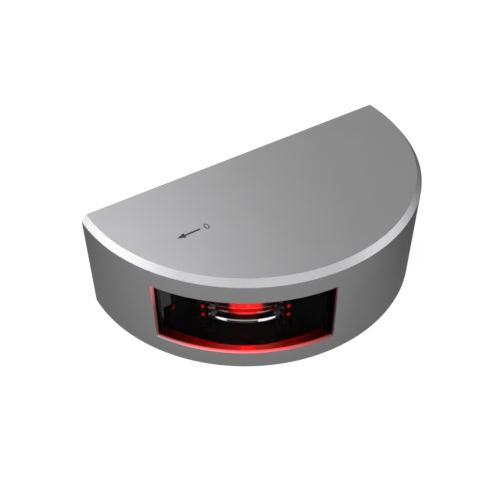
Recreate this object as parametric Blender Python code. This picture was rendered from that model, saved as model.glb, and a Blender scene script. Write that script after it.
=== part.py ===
"""Port sidelight for a boat: a D-shaped machined aluminium housing with a curved window on the bow side.

Metres, +Z up. The origin is the middle of the base, the flat back faces +Y and the curved front -Y.
The bow is towards -X. Plan angles run from -Y towards +X, about the centre of the curved front.
Pieces are modelled about that centre, under the empty plan_centre. The optical pieces are modelled
about the same centre under the empty optical_axis, whose own -Y points out through the window.
"""

import math

import bmesh
import bpy
from mathutils import Matrix, Vector

# Clearances
FIT = 0.0002
COUNTERSINK_CLEARANCE = 0.0005
HOLE_SPARE = 0.0008

# Housing, machined from one block and open below
HOUSING_RADIUS = 0.065
BACK_OFFSET = 0.0035
HOUSING_HEIGHT = 0.0408
CHAMFER_WIDTH = 0.00205
CHAMFER_DROP = 0.0024
BACK_WALL = 0.005
ROOF_THICKNESS = 0.004
BASE_RIM = 0.003

# Window, its lip and the bonded pane behind it
AXIS_ANGLE = math.radians(-33.75)
SECTOR_HALF_ANGLE = math.radians(56.25)
WINDOW_HALF_ANGLE = math.radians(28.125)
SILL_HEIGHT = 0.00685
WINDOW_HEAD = 0.00935
WINDOW_LIP = 0.0015
WINDOW_SEAL_THICKNESS = 0.0006
WINDOW_SEAL_WIDTH = 0.0009
PANE_THICKNESS = 0.0046
PANE_OVERLAP = 0.0013

# Base plate, its gasket and its countersunk screws
BASE_THICKNESS = 0.0024
GASKET_THICKNESS = 0.0008
GASKET_INSET = 0.0004
BASE_SCREW_RADIUS = 0.0014
BASE_SCREW_HEAD_RADIUS = 0.0028
BASE_SCREW_LENGTH = 0.010
BASE_SCREW_BOSS_RADIUS = 0.0036
BASE_SCREW_BOSS_INSET = 0.0028
BASE_SCREW_ANGLES = [math.radians(degrees) for degrees in (-67, 4.5, 36, 67)]
BASE_SCREW_BACK_X = (-0.014, 0.024)

# Threaded mounting inserts in solid bosses at the two ends
INSERT_END_DISTANCE = 0.0115
INSERT_BACK_DISTANCE = 0.0115
INSERT_RADIUS = 0.0035
INSERT_BORE_RADIUS = 0.0021
INSERT_LENGTH = 0.011
INSERT_BOSS_RADIUS = 0.0082
INSERT_BOSS_LEDGE = 0.0024

# Light shield: the black chamber between the light source and the pane
SHIELD_WALL = 0.0012
SHIELD_CLEARANCE = 0.0012
SHIELD_FRONT_HALF_ANGLE = math.radians(28.6)
SHIELD_BACK_HALF_WIDTH = 0.012
SHIELD_BACK_GAP = 0.0006
SHIELD_POST_RADIUS = 0.0028
SHIELD_POST_ACROSS = 0.014
SHIELD_POST_SETBACK = 0.008

# Belt lens, bent round the light source, with prism rings above and below
LENS_RADIUS = 0.030
LENS_PANE_GAP = 0.0060
LENS_DEPTH = 0.0065
LENS_SIDE_GAP = 0.0008
BELT_HALF_HEIGHT = 0.0040
BELT_BULGE = 0.0022
RING_COUNT = 2
RING_SILL_GAP = 0.0009
RING_CREST_DROP = 0.0004
RING_FOOT_DROP = 0.0022

# Clips that hold the ends of the lens
CLIP_WALL = 0.0012
CLIP_LIP_ANGLE = math.radians(2)
CLIP_FOOT_ANGLE = math.radians(5)
CLIP_SCREW_LENGTH = 0.0028

# Light sources and their board
LED_COUNT = 3
LED_PITCH = 0.0042
LED_SIDE = 0.0034
LED_THICKNESS = 0.001
LED_DOME_RADIUS = 0.0015
LED_BOARD_HEIGHT = 0.012
LED_BOARD_THICKNESS = 0.0016
LED_BOARD_EDGE = 0.003
LED_BOARD_SCREW_ACROSS = 0.0095

# Bracket that carries the board and takes its heat into the roof
BRACKET_HALF_WIDTH = 0.0125
BRACKET_PLATE = 0.003
BRACKET_FLANGE_LENGTH = 0.0125
BRACKET_FOOT = 0.0005
BRACKET_SCREW_ACROSS = 0.008
BRACKET_SCREW_SETBACK = 0.0065

# Small pan-head screws and their holes
SCREW_RADIUS = 0.00125
SCREW_HEAD_RADIUS = 0.0024
SCREW_HEAD_HEIGHT = 0.0014
SCREW_CROWN_SHARE = 0.7
SCREW_REACH = 0.0024
TAP_CLEARANCE = 0.0002

# Driver board, hung from the roof on spacers
BOARD_LENGTH = 0.038
BOARD_WIDTH = 0.026
BOARD_THICKNESS = 0.0016
BOARD_END_GAP = 0.0019
BOARD_BACK_GAP = 0.008
SPACER_LENGTH = 0.014
SPACER_RADIUS = 0.00275
SPACER_EDGE = 0.0035
SPACER_BORE_DEPTH = 0.007

# Pieces on the driver board
INDUCTOR_SIDE = 0.0100
INDUCTOR_HEIGHT = 0.005
CAPACITOR_RADIUS = 0.004
CAPACITOR_HEIGHT = 0.009
CHIP_LENGTH = 0.006
CHIP_WIDTH = 0.005
CHIP_HEIGHT = 0.0016
TERMINAL_LENGTH = 0.0074
TERMINAL_DEPTH = 0.0078
TERMINAL_HEIGHT = 0.0085
TERMINAL_ENTRY_RADIUS = 0.0012
TERMINAL_ENTRY_DEPTH = 0.005
TERMINAL_ENTRY_RISE = 0.0034
TERMINAL_PITCH = 0.0035
CONNECTOR_LENGTH = 0.0044
CONNECTOR_DEPTH = 0.0055
CONNECTOR_HEIGHT = 0.005
EDGE_BREAK = 0.0005
BOARD_PIECE_GAP = 0.0015
BACK_ROW = 0.0036
FRONT_ROW = -0.0066
CONNECTOR_ROW = -0.0042
LEAD_RADIUS = 0.0007
LEAD_PITCH = 0.0025
LEAD_RISE = 0.0026
LEAD_REACH = 0.006
LEAD_POINTS = 12

# Cable gland, flush below and clamped from inside
GLAND_INSERT_DISTANCE = 0.0195
GLAND_BACK_DISTANCE = 0.015
CABLE_RADIUS = 0.0033
GLAND_STUB_RADIUS = 0.005
GLAND_FLANGE_RADIUS = 0.0072
GLAND_FLANGE_THICKNESS = 0.0024
GLAND_SLEEVE_WALL = 0.0012
GLAND_SLEEVE_HEIGHT = 0.006
GLAND_SEAL_WALL = 0.0012
GLAND_NUT_WALL = 0.0012

# Facets
TURN_SEGMENTS = 96
BOSS_SEGMENTS = 20
CORNER_STEPS = 6
SCREW_SEGMENTS = 12
ARC_STEP = math.radians(3.75)
BELT_STEPS = 8
DOME_STEPS = 3
SHARP_ANGLE = math.radians(35)

# Places worked out from the sizes above
CENTRE_Y = (HOUSING_RADIUS - BACK_OFFSET) / 2
FRONT_WALL = WINDOW_LIP + WINDOW_SEAL_THICKNESS + PANE_THICKNESS + 2 * FIT
INNER_RADIUS = HOUSING_RADIUS - FRONT_WALL
INNER_BACK = BACK_OFFSET - BACK_WALL
ROOF_INSIDE = HOUSING_HEIGHT - ROOF_THICKNESS
LEDGE_HEIGHT = BASE_THICKNESS + GASKET_THICKNESS + 2 * FIT
REBATE_RADIUS = HOUSING_RADIUS - BASE_RIM
REBATE_BACK = BACK_OFFSET - BASE_RIM
WINDOW_TOP = HOUSING_HEIGHT - WINDOW_HEAD
WINDOW_MIDDLE = (SILL_HEIGHT + WINDOW_TOP) / 2
LIP_INSIDE = HOUSING_RADIUS - WINDOW_LIP
SEAL_OUTSIDE = LIP_INSIDE - FIT
SEAL_INSIDE = SEAL_OUTSIDE - WINDOW_SEAL_THICKNESS
PANE_OUTSIDE = SEAL_INSIDE - FIT
PANE_INSIDE = PANE_OUTSIDE - PANE_THICKNESS
PANE_HALF_ANGLE = WINDOW_HALF_ANGLE + PANE_OVERLAP / PANE_OUTSIDE
WINDOW_HALF_WIDTH = HOUSING_RADIUS * math.sin(WINDOW_HALF_ANGLE)
WINDOW_EDGE_FORWARD = HOUSING_RADIUS * math.cos(WINDOW_HALF_ANGLE)
LED_DISTANCE = WINDOW_EDGE_FORWARD - WINDOW_HALF_WIDTH / math.tan(SECTOR_HALF_ANGLE)
LED_BOARD_FRONT = LED_DISTANCE - LED_THICKNESS - FIT
LED_BOARD_BACK = LED_BOARD_FRONT - LED_BOARD_THICKNESS
BRACKET_FRONT = LED_BOARD_BACK - FIT
BRACKET_PLATE_BACK = BRACKET_FRONT - BRACKET_PLATE
BRACKET_TOP = ROOF_INSIDE - FIT
SHIELD_FRONT = INNER_RADIUS - FIT
SHIELD_BACK = LED_DISTANCE + LED_DOME_RADIUS + SHIELD_BACK_GAP
SHIELD_FLOOR = SILL_HEIGHT - SHIELD_CLEARANCE
SHIELD_CEILING = WINDOW_TOP + SHIELD_CLEARANCE
SHIELD_POST_FORWARD = INNER_RADIUS - SHIELD_POST_SETBACK
LENS_CENTRE = INNER_RADIUS - LENS_PANE_GAP - LENS_RADIUS
LENS_BACK = LENS_RADIUS - LENS_DEPTH
SCREEN_FRONT_X = SHIELD_FRONT * math.sin(SHIELD_FRONT_HALF_ANGLE)
SCREEN_FRONT_FORWARD = SHIELD_FRONT * math.cos(SHIELD_FRONT_HALF_ANGLE)
SCREEN_ANGLE = math.atan2(SCREEN_FRONT_X - SHIELD_BACK_HALF_WIDTH, SCREEN_FRONT_FORWARD - SHIELD_BACK)
SCREEN_SLOPE = math.tan(SCREEN_ANGLE)
SCREEN_SHIFT = SHIELD_WALL / math.cos(SCREEN_ANGLE)
CLIP_INSIDE = LENS_BACK - FIT - CLIP_WALL
CLIP_OUTSIDE = LENS_RADIUS + FIT + CLIP_WALL
LENS_HALF_HEIGHT = WINDOW_MIDDLE - SILL_HEIGHT - RING_SILL_GAP
RING_HEIGHT = (LENS_HALF_HEIGHT - BELT_HALF_HEIGHT) / RING_COUNT
TAP_RADIUS = SCREW_RADIUS + TAP_CLEARANCE
TAP_TOP = ROOF_INSIDE + SCREW_REACH + FIT
INSERT_X = HOUSING_RADIUS - INSERT_END_DISTANCE
BOSS_INSIDE = INSERT_X - INSERT_BOSS_RADIUS - INSERT_BOSS_LEDGE
BOARD_CENTRE_X = BOSS_INSIDE - BOARD_END_GAP - BOARD_LENGTH / 2
BOARD_CENTRE_Y = INNER_BACK - BOARD_BACK_GAP - BOARD_WIDTH / 2
SPACER_TOP = ROOF_INSIDE - FIT
SPACER_BOTTOM = SPACER_TOP - SPACER_LENGTH
BOARD_TOP = SPACER_BOTTOM - FIT
BOARD_BOTTOM = BOARD_TOP - BOARD_THICKNESS
PART_TOP = BOARD_BOTTOM - FIT
INSERT_Y = BACK_OFFSET - INSERT_BACK_DISTANCE
INSERT_PLACES = [(side * INSERT_X, INSERT_Y) for side in (-1, 1)]
GLAND_X = GLAND_INSERT_DISTANCE - INSERT_X
GLAND_Y = BACK_OFFSET - GLAND_BACK_DISTANCE


def on_circle(radius, angle):
    """Return the plan point at a radius and an angle from -Y towards +X."""
    return radius * math.sin(angle), -radius * math.cos(angle)


def base_screw_places():
    """Return the plan points of the base screws: round the curved wall, then along the back wall."""
    circle = INNER_RADIUS - BASE_SCREW_BOSS_INSET
    row = INNER_BACK - BASE_SCREW_BOSS_INSET
    places = [on_circle(circle, angle) for angle in BASE_SCREW_ANGLES]
    return places + [(x, row) for x in BASE_SCREW_BACK_X]


def spacer_places():
    """Return the plan points of the driver board's spacers."""
    reach_x = BOARD_LENGTH / 2 - SPACER_EDGE
    reach_y = BOARD_WIDTH / 2 - SPACER_EDGE
    corners = [(-1, -1), (1, -1), (1, 1), (-1, 1)]
    return [(BOARD_CENTRE_X + i * reach_x, BOARD_CENTRE_Y + j * reach_y) for i, j in corners]


def bracket_screw_places():
    """Return the optical-frame points of the bracket's screws."""
    forward = BRACKET_PLATE_BACK - BRACKET_SCREW_SETBACK
    return [(side * BRACKET_SCREW_ACROSS, -forward) for side in (-1, 1)]


def shield_screw_places():
    """Return the optical-frame points of the light shield's screws."""
    return [(side * SHIELD_POST_ACROSS, -SHIELD_POST_FORWARD) for side in (-1, 1)]


def in_plan(point):
    """Turn an optical-frame point into a plan point."""
    return (Matrix.Rotation(AXIS_ANGLE, 2) @ Vector(point)).to_tuple()


# Materials


def material(name, colour, roughness, metallic=0.0, alpha=1.0):
    """Return a Principled material, made once."""
    made = bpy.data.materials.get(name)
    if made:
        return made
    made = bpy.data.materials.new(name)
    made.use_nodes = True
    shader = made.node_tree.nodes["Principled BSDF"]
    shader.inputs["Base Color"].default_value = (*colour, 1.0)
    shader.inputs["Roughness"].default_value = roughness
    shader.inputs["Metallic"].default_value = metallic
    shader.inputs["Alpha"].default_value = alpha
    return made


def bare_aluminium():
    return material("bare_aluminium", (0.50, 0.50, 0.51), 0.42, 1.0)


def stainless_steel():
    return material("stainless_steel", (0.56, 0.55, 0.53), 0.28, 1.0)


def clear_pane():
    return material("clear_pane", (0.95, 0.95, 0.95), 0.05, 0.0, 0.3)


def clear_lens():
    return material("clear_lens", (0.95, 0.93, 0.93), 0.05, 0.0, 0.35)


def black_moulding():
    return material("black_moulding", (0.012, 0.012, 0.013), 0.5)


def sealing_rubber():
    return material("sealing_rubber", (0.03, 0.03, 0.03), 0.8)


def white_board():
    return material("white_board", (0.75, 0.75, 0.73), 0.5)


def red_led():
    return material("red_led", (0.75, 0.02, 0.02), 0.2)


def green_board():
    return material("green_board", (0.02, 0.16, 0.06), 0.4)


def dark_component():
    return material("dark_component", (0.025, 0.025, 0.028), 0.5)


def capacitor_can():
    return material("capacitor_can", (0.60, 0.60, 0.62), 0.3, 1.0)


def terminal_plastic():
    return material("terminal_plastic", (0.04, 0.18, 0.08), 0.45)


def lead_red():
    return material("lead_red", (0.40, 0.02, 0.02), 0.5)


def lead_black():
    return material("lead_black", (0.015, 0.015, 0.015), 0.5)


def nickel_brass():
    return material("nickel_brass", (0.55, 0.52, 0.46), 0.3, 1.0)


# Shapes


def profile_face(bm, points):
    """Add one face through a list of points and return it."""
    return bm.faces.new([bm.verts.new(point) for point in points])


def turned(profile, segments):
    """Turn a profile of (radius, height) points about Z; an open one starts and ends on the axis."""
    bm = bmesh.new()
    verts = [bm.verts.new((radius, 0, height)) for radius, height in profile]
    pairs = list(zip(verts, verts[1:]))
    if profile[0][0] > 0:
        pairs.append((verts[-1], verts[0]))
    edges = [bm.edges.new(pair) for pair in pairs]
    bmesh.ops.spin(bm, geom=verts + edges, cent=(0, 0, 0), axis=(0, 0, 1), angle=2 * math.pi,
                   steps=segments, use_merge=True)
    bmesh.ops.remove_doubles(bm, verts=bm.verts, dist=1e-7)
    bmesh.ops.recalc_face_normals(bm, faces=bm.faces)
    return bm


def swept(profile, start, end, pivot=0.0):
    """Sweep a closed profile of (radius, height) points about an upright axis, pivot ahead of Z."""
    bm = bmesh.new()
    points = [Vector((*on_circle(radius, start), height)) for radius, height in profile]
    face = profile_face(bm, points)
    steps = max(1, round((end - start) / ARC_STEP))
    bmesh.ops.spin(bm, geom=[face], cent=(0, 0, 0), axis=(0, 0, 1), angle=end - start, steps=steps)
    bmesh.ops.translate(bm, verts=bm.verts, vec=(0, -pivot, 0))
    bmesh.ops.recalc_face_normals(bm, faces=bm.faces)
    return bm


def rectangle(inner, outer, bottom, top):
    """Return the corners of a rectangular profile."""
    return [(inner, bottom), (outer, bottom), (outer, top), (inner, top)]


def extruded(points, vector):
    """Extrude the flat face through some points along a vector."""
    bm = bmesh.new()
    face = profile_face(bm, points)
    grown = bmesh.ops.extrude_face_region(bm, geom=[face])["geom"]
    moved = [item for item in grown if isinstance(item, bmesh.types.BMVert)]
    bmesh.ops.translate(bm, verts=moved, vec=vector)
    bmesh.ops.recalc_face_normals(bm, faces=bm.faces)
    return bm


def prism(outline, bottom, top):
    """Extrude a plan outline from one height to another."""
    return extruded([(x, y, bottom) for x, y in outline], (0, 0, top - bottom))


def notched_outline(radius, back, corner):
    """Return a D outline whose back corners are left out, each rounded about its insert."""
    limit = math.acos((corner - INSERT_Y) / radius)
    steps = round(2 * limit / ARC_STEP)
    outline = [on_circle(radius, limit * (2 * i / steps - 1)) for i in range(steps + 1)]
    turns = [math.pi / 2 * i / CORNER_STEPS for i in range(CORNER_STEPS + 1)]
    (left, y), (right, _) = INSERT_PLACES
    outline += [(right - corner * math.sin(turn), y - corner * math.cos(turn)) for turn in turns]
    outline += [(right - corner, back), (left + corner, back)]
    outline += [(left + corner * math.cos(turn), y - corner * math.sin(turn)) for turn in turns]
    return outline


def ring(outer, inner, bottom, top):
    """Extrude the band between two plan outlines."""
    bm = bmesh.new()
    edges = []
    for outline in (outer, inner):
        verts = [bm.verts.new((x, y, bottom)) for x, y in outline]
        edges += [bm.edges.new(pair) for pair in zip(verts, verts[1:] + verts[:1])]
    band = bmesh.ops.bridge_loops(bm, edges=edges)["faces"]
    grown = bmesh.ops.extrude_face_region(bm, geom=band)["geom"]
    raised = [item for item in grown if isinstance(item, bmesh.types.BMVert)]
    bmesh.ops.translate(bm, verts=raised, vec=(0, 0, top - bottom))
    bmesh.ops.recalc_face_normals(bm, faces=bm.faces)
    return bm


def block(length, depth, height):
    """Return a rectangular block about its own middle."""
    bm = bmesh.new()
    bmesh.ops.create_cube(bm, size=1)
    bmesh.ops.scale(bm, verts=bm.verts, vec=(length, depth, height))
    return bm


def columns(places, radius, bottom, top, segments=SCREW_SEGMENTS):
    """Return upright round columns at several plan points, as one tool shape."""
    bm = bmesh.new()
    for x, y in places:
        placed = Matrix.Translation((x, y, (bottom + top) / 2))
        bmesh.ops.create_cone(bm, cap_ends=True, segments=segments, radius1=radius, radius2=radius,
                              depth=top - bottom, matrix=placed)
    return bm


def housing_outside():
    """Turn a disc with a chamfered top edge and cut it flat at the back."""
    profile = [(0, 0), (HOUSING_RADIUS, 0), (HOUSING_RADIUS, HOUSING_HEIGHT - CHAMFER_DROP),
               (HOUSING_RADIUS - CHAMFER_WIDTH, HOUSING_HEIGHT), (0, HOUSING_HEIGHT)]
    bm = turned(profile, TURN_SEGMENTS)
    geometry = bm.verts[:] + bm.edges[:] + bm.faces[:]
    sawn = bmesh.ops.bisect_plane(bm, geom=geometry, dist=1e-7, plane_co=(0, BACK_OFFSET, 0),
                                  plane_no=(0, 1, 0), clear_outer=True)["geom_cut"]
    rim = [item for item in sawn if isinstance(item, bmesh.types.BMEdge)]
    bmesh.ops.edgeloop_fill(bm, edges=rim)
    bmesh.ops.recalc_face_normals(bm, faces=bm.faces)
    return bm


def softened(bm, width):
    """Break every edge of a shape by a small bevel."""
    bmesh.ops.bevel(bm, geom=bm.edges[:], offset=width, offset_type="OFFSET", affect="EDGES", segments=1,
                    profile=0.5, material=-1)
    return bm


# Objects


def place(name, bm, finish, parent, location=(0, 0, 0), rotation=(0, 0, 0)):
    """Make a named object from a shape, shade it and put it under its parent."""
    mesh = bpy.data.meshes.new(name)
    bm.to_mesh(mesh)
    bm.free()
    mesh.shade_smooth()
    mesh.set_sharp_from_angle(angle=SHARP_ANGLE)
    return place_mesh(name, mesh, finish, parent, location, rotation)


def place_mesh(name, mesh, finish, parent, location=(0, 0, 0), rotation=(0, 0, 0)):
    """Put a mesh, which other objects may share, under its parent."""
    made = bpy.data.objects.new(name, mesh)
    bpy.context.scene.collection.objects.link(made)
    made.parent = parent
    made.location = location
    made.rotation_euler = rotation
    if finish and not mesh.materials:
        mesh.materials.append(finish)
    return made


def tool(name, bm, parent):
    """Make a cutting or joining shape, which is not a piece of the light."""
    made = place(name, bm, None, parent)
    made.hide_render = True
    made.display_type = "WIRE"
    return made


def combine(target, other, operation):
    """Join, cut or intersect one object with another."""
    modifier = target.modifiers.new(f"{operation.lower()} {other.name}", "BOOLEAN")
    modifier.object = other
    modifier.operation = operation
    modifier.solver = "EXACT"


def cut(target, *cutters):
    """Cut each of several tools out of an object."""
    for cutter in cutters:
        combine(target, cutter, "DIFFERENCE")


def empty(name, parent=None, location=(0, 0, 0), turn=0.0):
    """Make an empty that carries other objects."""
    made = bpy.data.objects.new(name, None)
    bpy.context.scene.collection.objects.link(made)
    made.parent = parent
    made.location = location
    made.rotation_euler = (0, 0, turn)
    return made


# Fasteners


def pan_screw(length):
    """Return a pan-head screw: its head below its origin, its shank up along Z."""
    head = SCREW_HEAD_HEIGHT
    crown = SCREW_HEAD_RADIUS * SCREW_CROWN_SHARE
    profile = [(0, -head), (crown, -head), (SCREW_HEAD_RADIUS, -head / 2), (SCREW_HEAD_RADIUS, 0),
               (SCREW_RADIUS, 0), (SCREW_RADIUS, length), (0, length)]
    return turned(profile, SCREW_SEGMENTS)


def countersunk_profile(head_radius, shank_radius, bottom, top):
    """Return the profile of a countersunk screw, or of its hole, with a cone of 45 degrees."""
    depth = head_radius - shank_radius
    return [(0, bottom), (head_radius, bottom), (head_radius, 0), (shank_radius, depth),
            (shank_radius, top), (0, top)]


def screw_set(name, places, height, length, finish, parent, rotation=(0, 0, 0)):
    """Place numbered pan-head screws that share one mesh."""
    first = None
    for number, (x, y) in enumerate(places, start=1):
        title = f"{name}_{number}"
        if first is None:
            first = place(title, pan_screw(length), finish, parent, (x, y, height), rotation)
        else:
            place_mesh(title, first.data, finish, parent, (x, y, height), rotation)


# Sub-assemblies


def make_housing(centre, optics):
    """Machine the housing: outside, pocket with bosses, base rebate, window and tapped holes."""
    housing = place("housing", housing_outside(), bare_aluminium(), centre)
    over = HOUSING_HEIGHT
    screw_bosses = tool("tool_screw_bosses", columns(base_screw_places(), BASE_SCREW_BOSS_RADIUS, 0, over,
                                                     BOSS_SEGMENTS), centre)
    pocket_outline = notched_outline(INNER_RADIUS, INNER_BACK, INSERT_BOSS_RADIUS + INSERT_BOSS_LEDGE)
    pocket = tool("tool_pocket", prism(pocket_outline, LEDGE_HEIGHT - FIT, ROOF_INSIDE), centre)
    cut(pocket, screw_bosses)
    rebate_outline = notched_outline(REBATE_RADIUS, REBATE_BACK, INSERT_BOSS_RADIUS)
    rebate = tool("tool_rebate", prism(rebate_outline, -LEDGE_HEIGHT, LEDGE_HEIGHT), centre)
    window_profile = rectangle(LIP_INSIDE - PANE_OVERLAP, HOUSING_RADIUS + WINDOW_LIP, SILL_HEIGHT,
                               WINDOW_TOP)
    window = tool("tool_window", swept(window_profile, -WINDOW_HALF_ANGLE, WINDOW_HALF_ANGLE), optics)
    seat_half_angle = PANE_HALF_ANGLE + FIT / PANE_OUTSIDE
    seat_profile = rectangle(INNER_RADIUS - PANE_THICKNESS, LIP_INSIDE, SILL_HEIGHT - PANE_OVERLAP - FIT,
                             WINDOW_TOP + PANE_OVERLAP + FIT)
    pane_seat = tool("tool_pane_seat", swept(seat_profile, -seat_half_angle, seat_half_angle), optics)
    cut(housing, window, pane_seat, pocket, rebate)
    insert_holes = columns(INSERT_PLACES, INSERT_RADIUS + FIT, -over, INSERT_LENGTH + HOLE_SPARE, BOSS_SEGMENTS)
    screw_holes = columns(base_screw_places(), BASE_SCREW_RADIUS + TAP_CLEARANCE, 0,
                          BASE_SCREW_LENGTH + HOLE_SPARE)
    optical_places = bracket_screw_places() + shield_screw_places()
    roof_places = spacer_places() + [in_plan(point) for point in optical_places]
    roof_holes = columns(roof_places, TAP_RADIUS, ROOF_INSIDE - SCREW_REACH, TAP_TOP)
    cut(housing, tool("tool_insert_holes", insert_holes, centre))
    cut(housing, tool("tool_base_screw_holes", screw_holes, centre))
    cut(housing, tool("tool_roof_holes", roof_holes, centre))


def make_inserts(centre):
    """Place the threaded inserts that take the mounting bolts, flush below."""
    profile = rectangle(INSERT_BORE_RADIUS, INSERT_RADIUS, FIT, FIT + INSERT_LENGTH)
    left = place("mount_insert_left", turned(profile, BOSS_SEGMENTS), stainless_steel(), centre,
                 (*INSERT_PLACES[0], 0))
    place_mesh("mount_insert_right", left.data, stainless_steel(), centre, (*INSERT_PLACES[1], 0))


def make_base(centre):
    """Make the base plate, its gasket and its countersunk screws."""
    over = HOUSING_HEIGHT
    plate_outline = notched_outline(REBATE_RADIUS - FIT, REBATE_BACK - FIT, INSERT_BOSS_RADIUS + FIT)
    plate = place("base_plate", prism(plate_outline, 0, BASE_THICKNESS), bare_aluminium(), centre)
    hole_profile = countersunk_profile(BASE_SCREW_HEAD_RADIUS + COUNTERSINK_CLEARANCE,
                                       BASE_SCREW_RADIUS + TAP_CLEARANCE, -BASE_THICKNESS,
                                       2 * BASE_THICKNESS)
    screw_profile = countersunk_profile(BASE_SCREW_HEAD_RADIUS, BASE_SCREW_RADIUS, 0, BASE_SCREW_LENGTH)
    del screw_profile[1]
    screw = None
    for number, (x, y) in enumerate(base_screw_places(), start=1):
        hole = tool(f"tool_countersink_{number}", turned(hole_profile, SCREW_SEGMENTS), centre)
        hole.location = (x, y, 0)
        cut(plate, hole)
        title = f"base_screw_{number}"
        if screw is None:
            shape = turned(screw_profile, SCREW_SEGMENTS)
            screw = place(title, shape, stainless_steel(), centre, (x, y, FIT))
        else:
            place_mesh(title, screw.data, stainless_steel(), centre, (x, y, FIT))
    gland_hole = columns([(GLAND_X, GLAND_Y)], GLAND_STUB_RADIUS + FIT, -over, over, BOSS_SEGMENTS)
    cut(plate, tool("tool_gland_hole", gland_hole, centre))
    bottom = BASE_THICKNESS + FIT
    top = bottom + GASKET_THICKNESS
    outer = notched_outline(REBATE_RADIUS - GASKET_INSET, REBATE_BACK - GASKET_INSET,
                            INSERT_BOSS_RADIUS + GASKET_INSET)
    inner = notched_outline(INNER_RADIUS + GASKET_INSET, INNER_BACK + GASKET_INSET,
                            INSERT_BOSS_RADIUS + INSERT_BOSS_LEDGE - GASKET_INSET)
    place("base_gasket", ring(outer, inner, bottom, top), sealing_rubber(), centre)


def make_window(optics):
    """Make the curved pane and the sealing bead between it and the lip."""
    bottom = SILL_HEIGHT - PANE_OVERLAP
    top = WINDOW_TOP + PANE_OVERLAP
    pane_profile = rectangle(PANE_INSIDE, PANE_OUTSIDE, bottom, top)
    place("window_pane", swept(pane_profile, -PANE_HALF_ANGLE, PANE_HALF_ANGLE), clear_pane(), optics)
    seal_profile = rectangle(SEAL_INSIDE, SEAL_OUTSIDE, bottom, top)
    bead = swept(seal_profile, -PANE_HALF_ANGLE, PANE_HALF_ANGLE)
    seal = place("window_seal", bead, sealing_rubber(), optics)
    open_half_angle = PANE_HALF_ANGLE - WINDOW_SEAL_WIDTH / PANE_OUTSIDE
    open_profile = rectangle(SEAL_INSIDE - FIT, SEAL_OUTSIDE + FIT, bottom + WINDOW_SEAL_WIDTH,
                             top - WINDOW_SEAL_WIDTH)
    cut(seal, tool("tool_seal_opening", swept(open_profile, -open_half_angle, open_half_angle), optics))


def shield_outline(front_radius, half_angle, back, back_half_width):
    """Return the plan outline of the chamber: a wedge with a curved front."""
    steps = round(2 * half_angle / ARC_STEP)
    front = [on_circle(front_radius, half_angle * (2 * i / steps - 1)) for i in range(steps + 1)]
    return front + [(back_half_width, -back), (-back_half_width, -back)]


def screen_inside(forward):
    """Return how far a side screen's inner face lies from the optical axis, at a distance along it."""
    return SHIELD_BACK_HALF_WIDTH - SCREEN_SHIFT + (forward - SHIELD_BACK) * SCREEN_SLOPE


def lens_half_angle():
    """Return the half angle at which the lens clips stand a small gap clear of the side screens."""
    room = screen_inside(LENS_CENTRE) * math.cos(SCREEN_ANGLE) - LENS_SIDE_GAP
    clip_end = SCREEN_ANGLE + math.asin(room / CLIP_INSIDE)
    return clip_end - (FIT + CLIP_WALL) / LENS_BACK


def make_light_shield(optics):
    """Make the chamber: floor, ceiling and side screens, open to the light source and to the pane."""
    finish = black_moulding()
    outline = shield_outline(SHIELD_FRONT, SHIELD_FRONT_HALF_ANGLE, SHIELD_BACK, SHIELD_BACK_HALF_WIDTH)
    bottom = SHIELD_FLOOR - SHIELD_WALL
    ceiling_top = SHIELD_CEILING + SHIELD_WALL
    shield = place("light_shield", prism(outline, bottom, ceiling_top), finish, optics)
    reach = 2 * SHIELD_WALL
    inside_back = SHIELD_BACK - reach
    inside_front = SCREEN_FRONT_FORWARD + reach
    half_back = screen_inside(inside_back)
    half_front = screen_inside(inside_front)
    past_pane = INNER_RADIUS + PANE_THICKNESS
    hollow = [(-half_back, -inside_back), (-half_front, -inside_front), (-half_front, -past_pane),
              (half_front, -past_pane), (half_front, -inside_front), (half_back, -inside_back)]
    cut(shield, tool("tool_shield_hollow", prism(hollow, SHIELD_FLOOR, SHIELD_CEILING), optics))
    places = shield_screw_places()
    posts = columns(places, SHIELD_POST_RADIUS, SHIELD_CEILING + SHIELD_WALL / 2, ROOF_INSIDE - FIT,
                    BOSS_SEGMENTS)
    combine(shield, tool("tool_shield_posts", posts, optics), "UNION")
    holes = columns(places, TAP_RADIUS, SHIELD_CEILING - SHIELD_WALL, ROOF_INSIDE + SHIELD_WALL)
    cut(shield, tool("tool_shield_screw_holes", holes, optics))
    clip_holes = columns(clip_screw_places(), TAP_RADIUS, bottom - SHIELD_WALL, SHIELD_FLOOR + SHIELD_WALL)
    cut(shield, tool("tool_clip_screw_holes", clip_holes, optics))
    head = SHIELD_CEILING - FIT
    screw_set("shield_screw", places, head, ROOF_INSIDE + SCREW_REACH - head, stainless_steel(), optics)


def lens_profile():
    """Return the lens section: a convex belt between prism rings, flat behind."""
    belt_edge = LENS_RADIUS - BELT_BULGE
    crest = LENS_RADIUS - RING_CREST_DROP
    foot = LENS_RADIUS - RING_FOOT_DROP
    curve = (BELT_HALF_HEIGHT ** 2 + BELT_BULGE ** 2) / (2 * BELT_BULGE)
    half_turn = math.asin(BELT_HALF_HEIGHT / curve)
    belt = []
    for i in range(BELT_STEPS + 1):
        angle = half_turn * (2 * i / BELT_STEPS - 1)
        belt.append((LENS_RADIUS - curve + curve * math.cos(angle), curve * math.sin(angle)))
    belt[0] = (belt_edge, -BELT_HALF_HEIGHT)
    belt[-1] = (belt_edge, BELT_HALF_HEIGHT)
    above = []
    for i in range(RING_COUNT):
        near = BELT_HALF_HEIGHT + i * RING_HEIGHT
        above += [(crest, near), (foot, near + RING_HEIGHT)]
    above.append((LENS_BACK, LENS_HALF_HEIGHT))
    below = [(radius, -height) for radius, height in reversed(above)]
    return [(radius, WINDOW_MIDDLE + height) for radius, height in below + belt + above]


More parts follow.
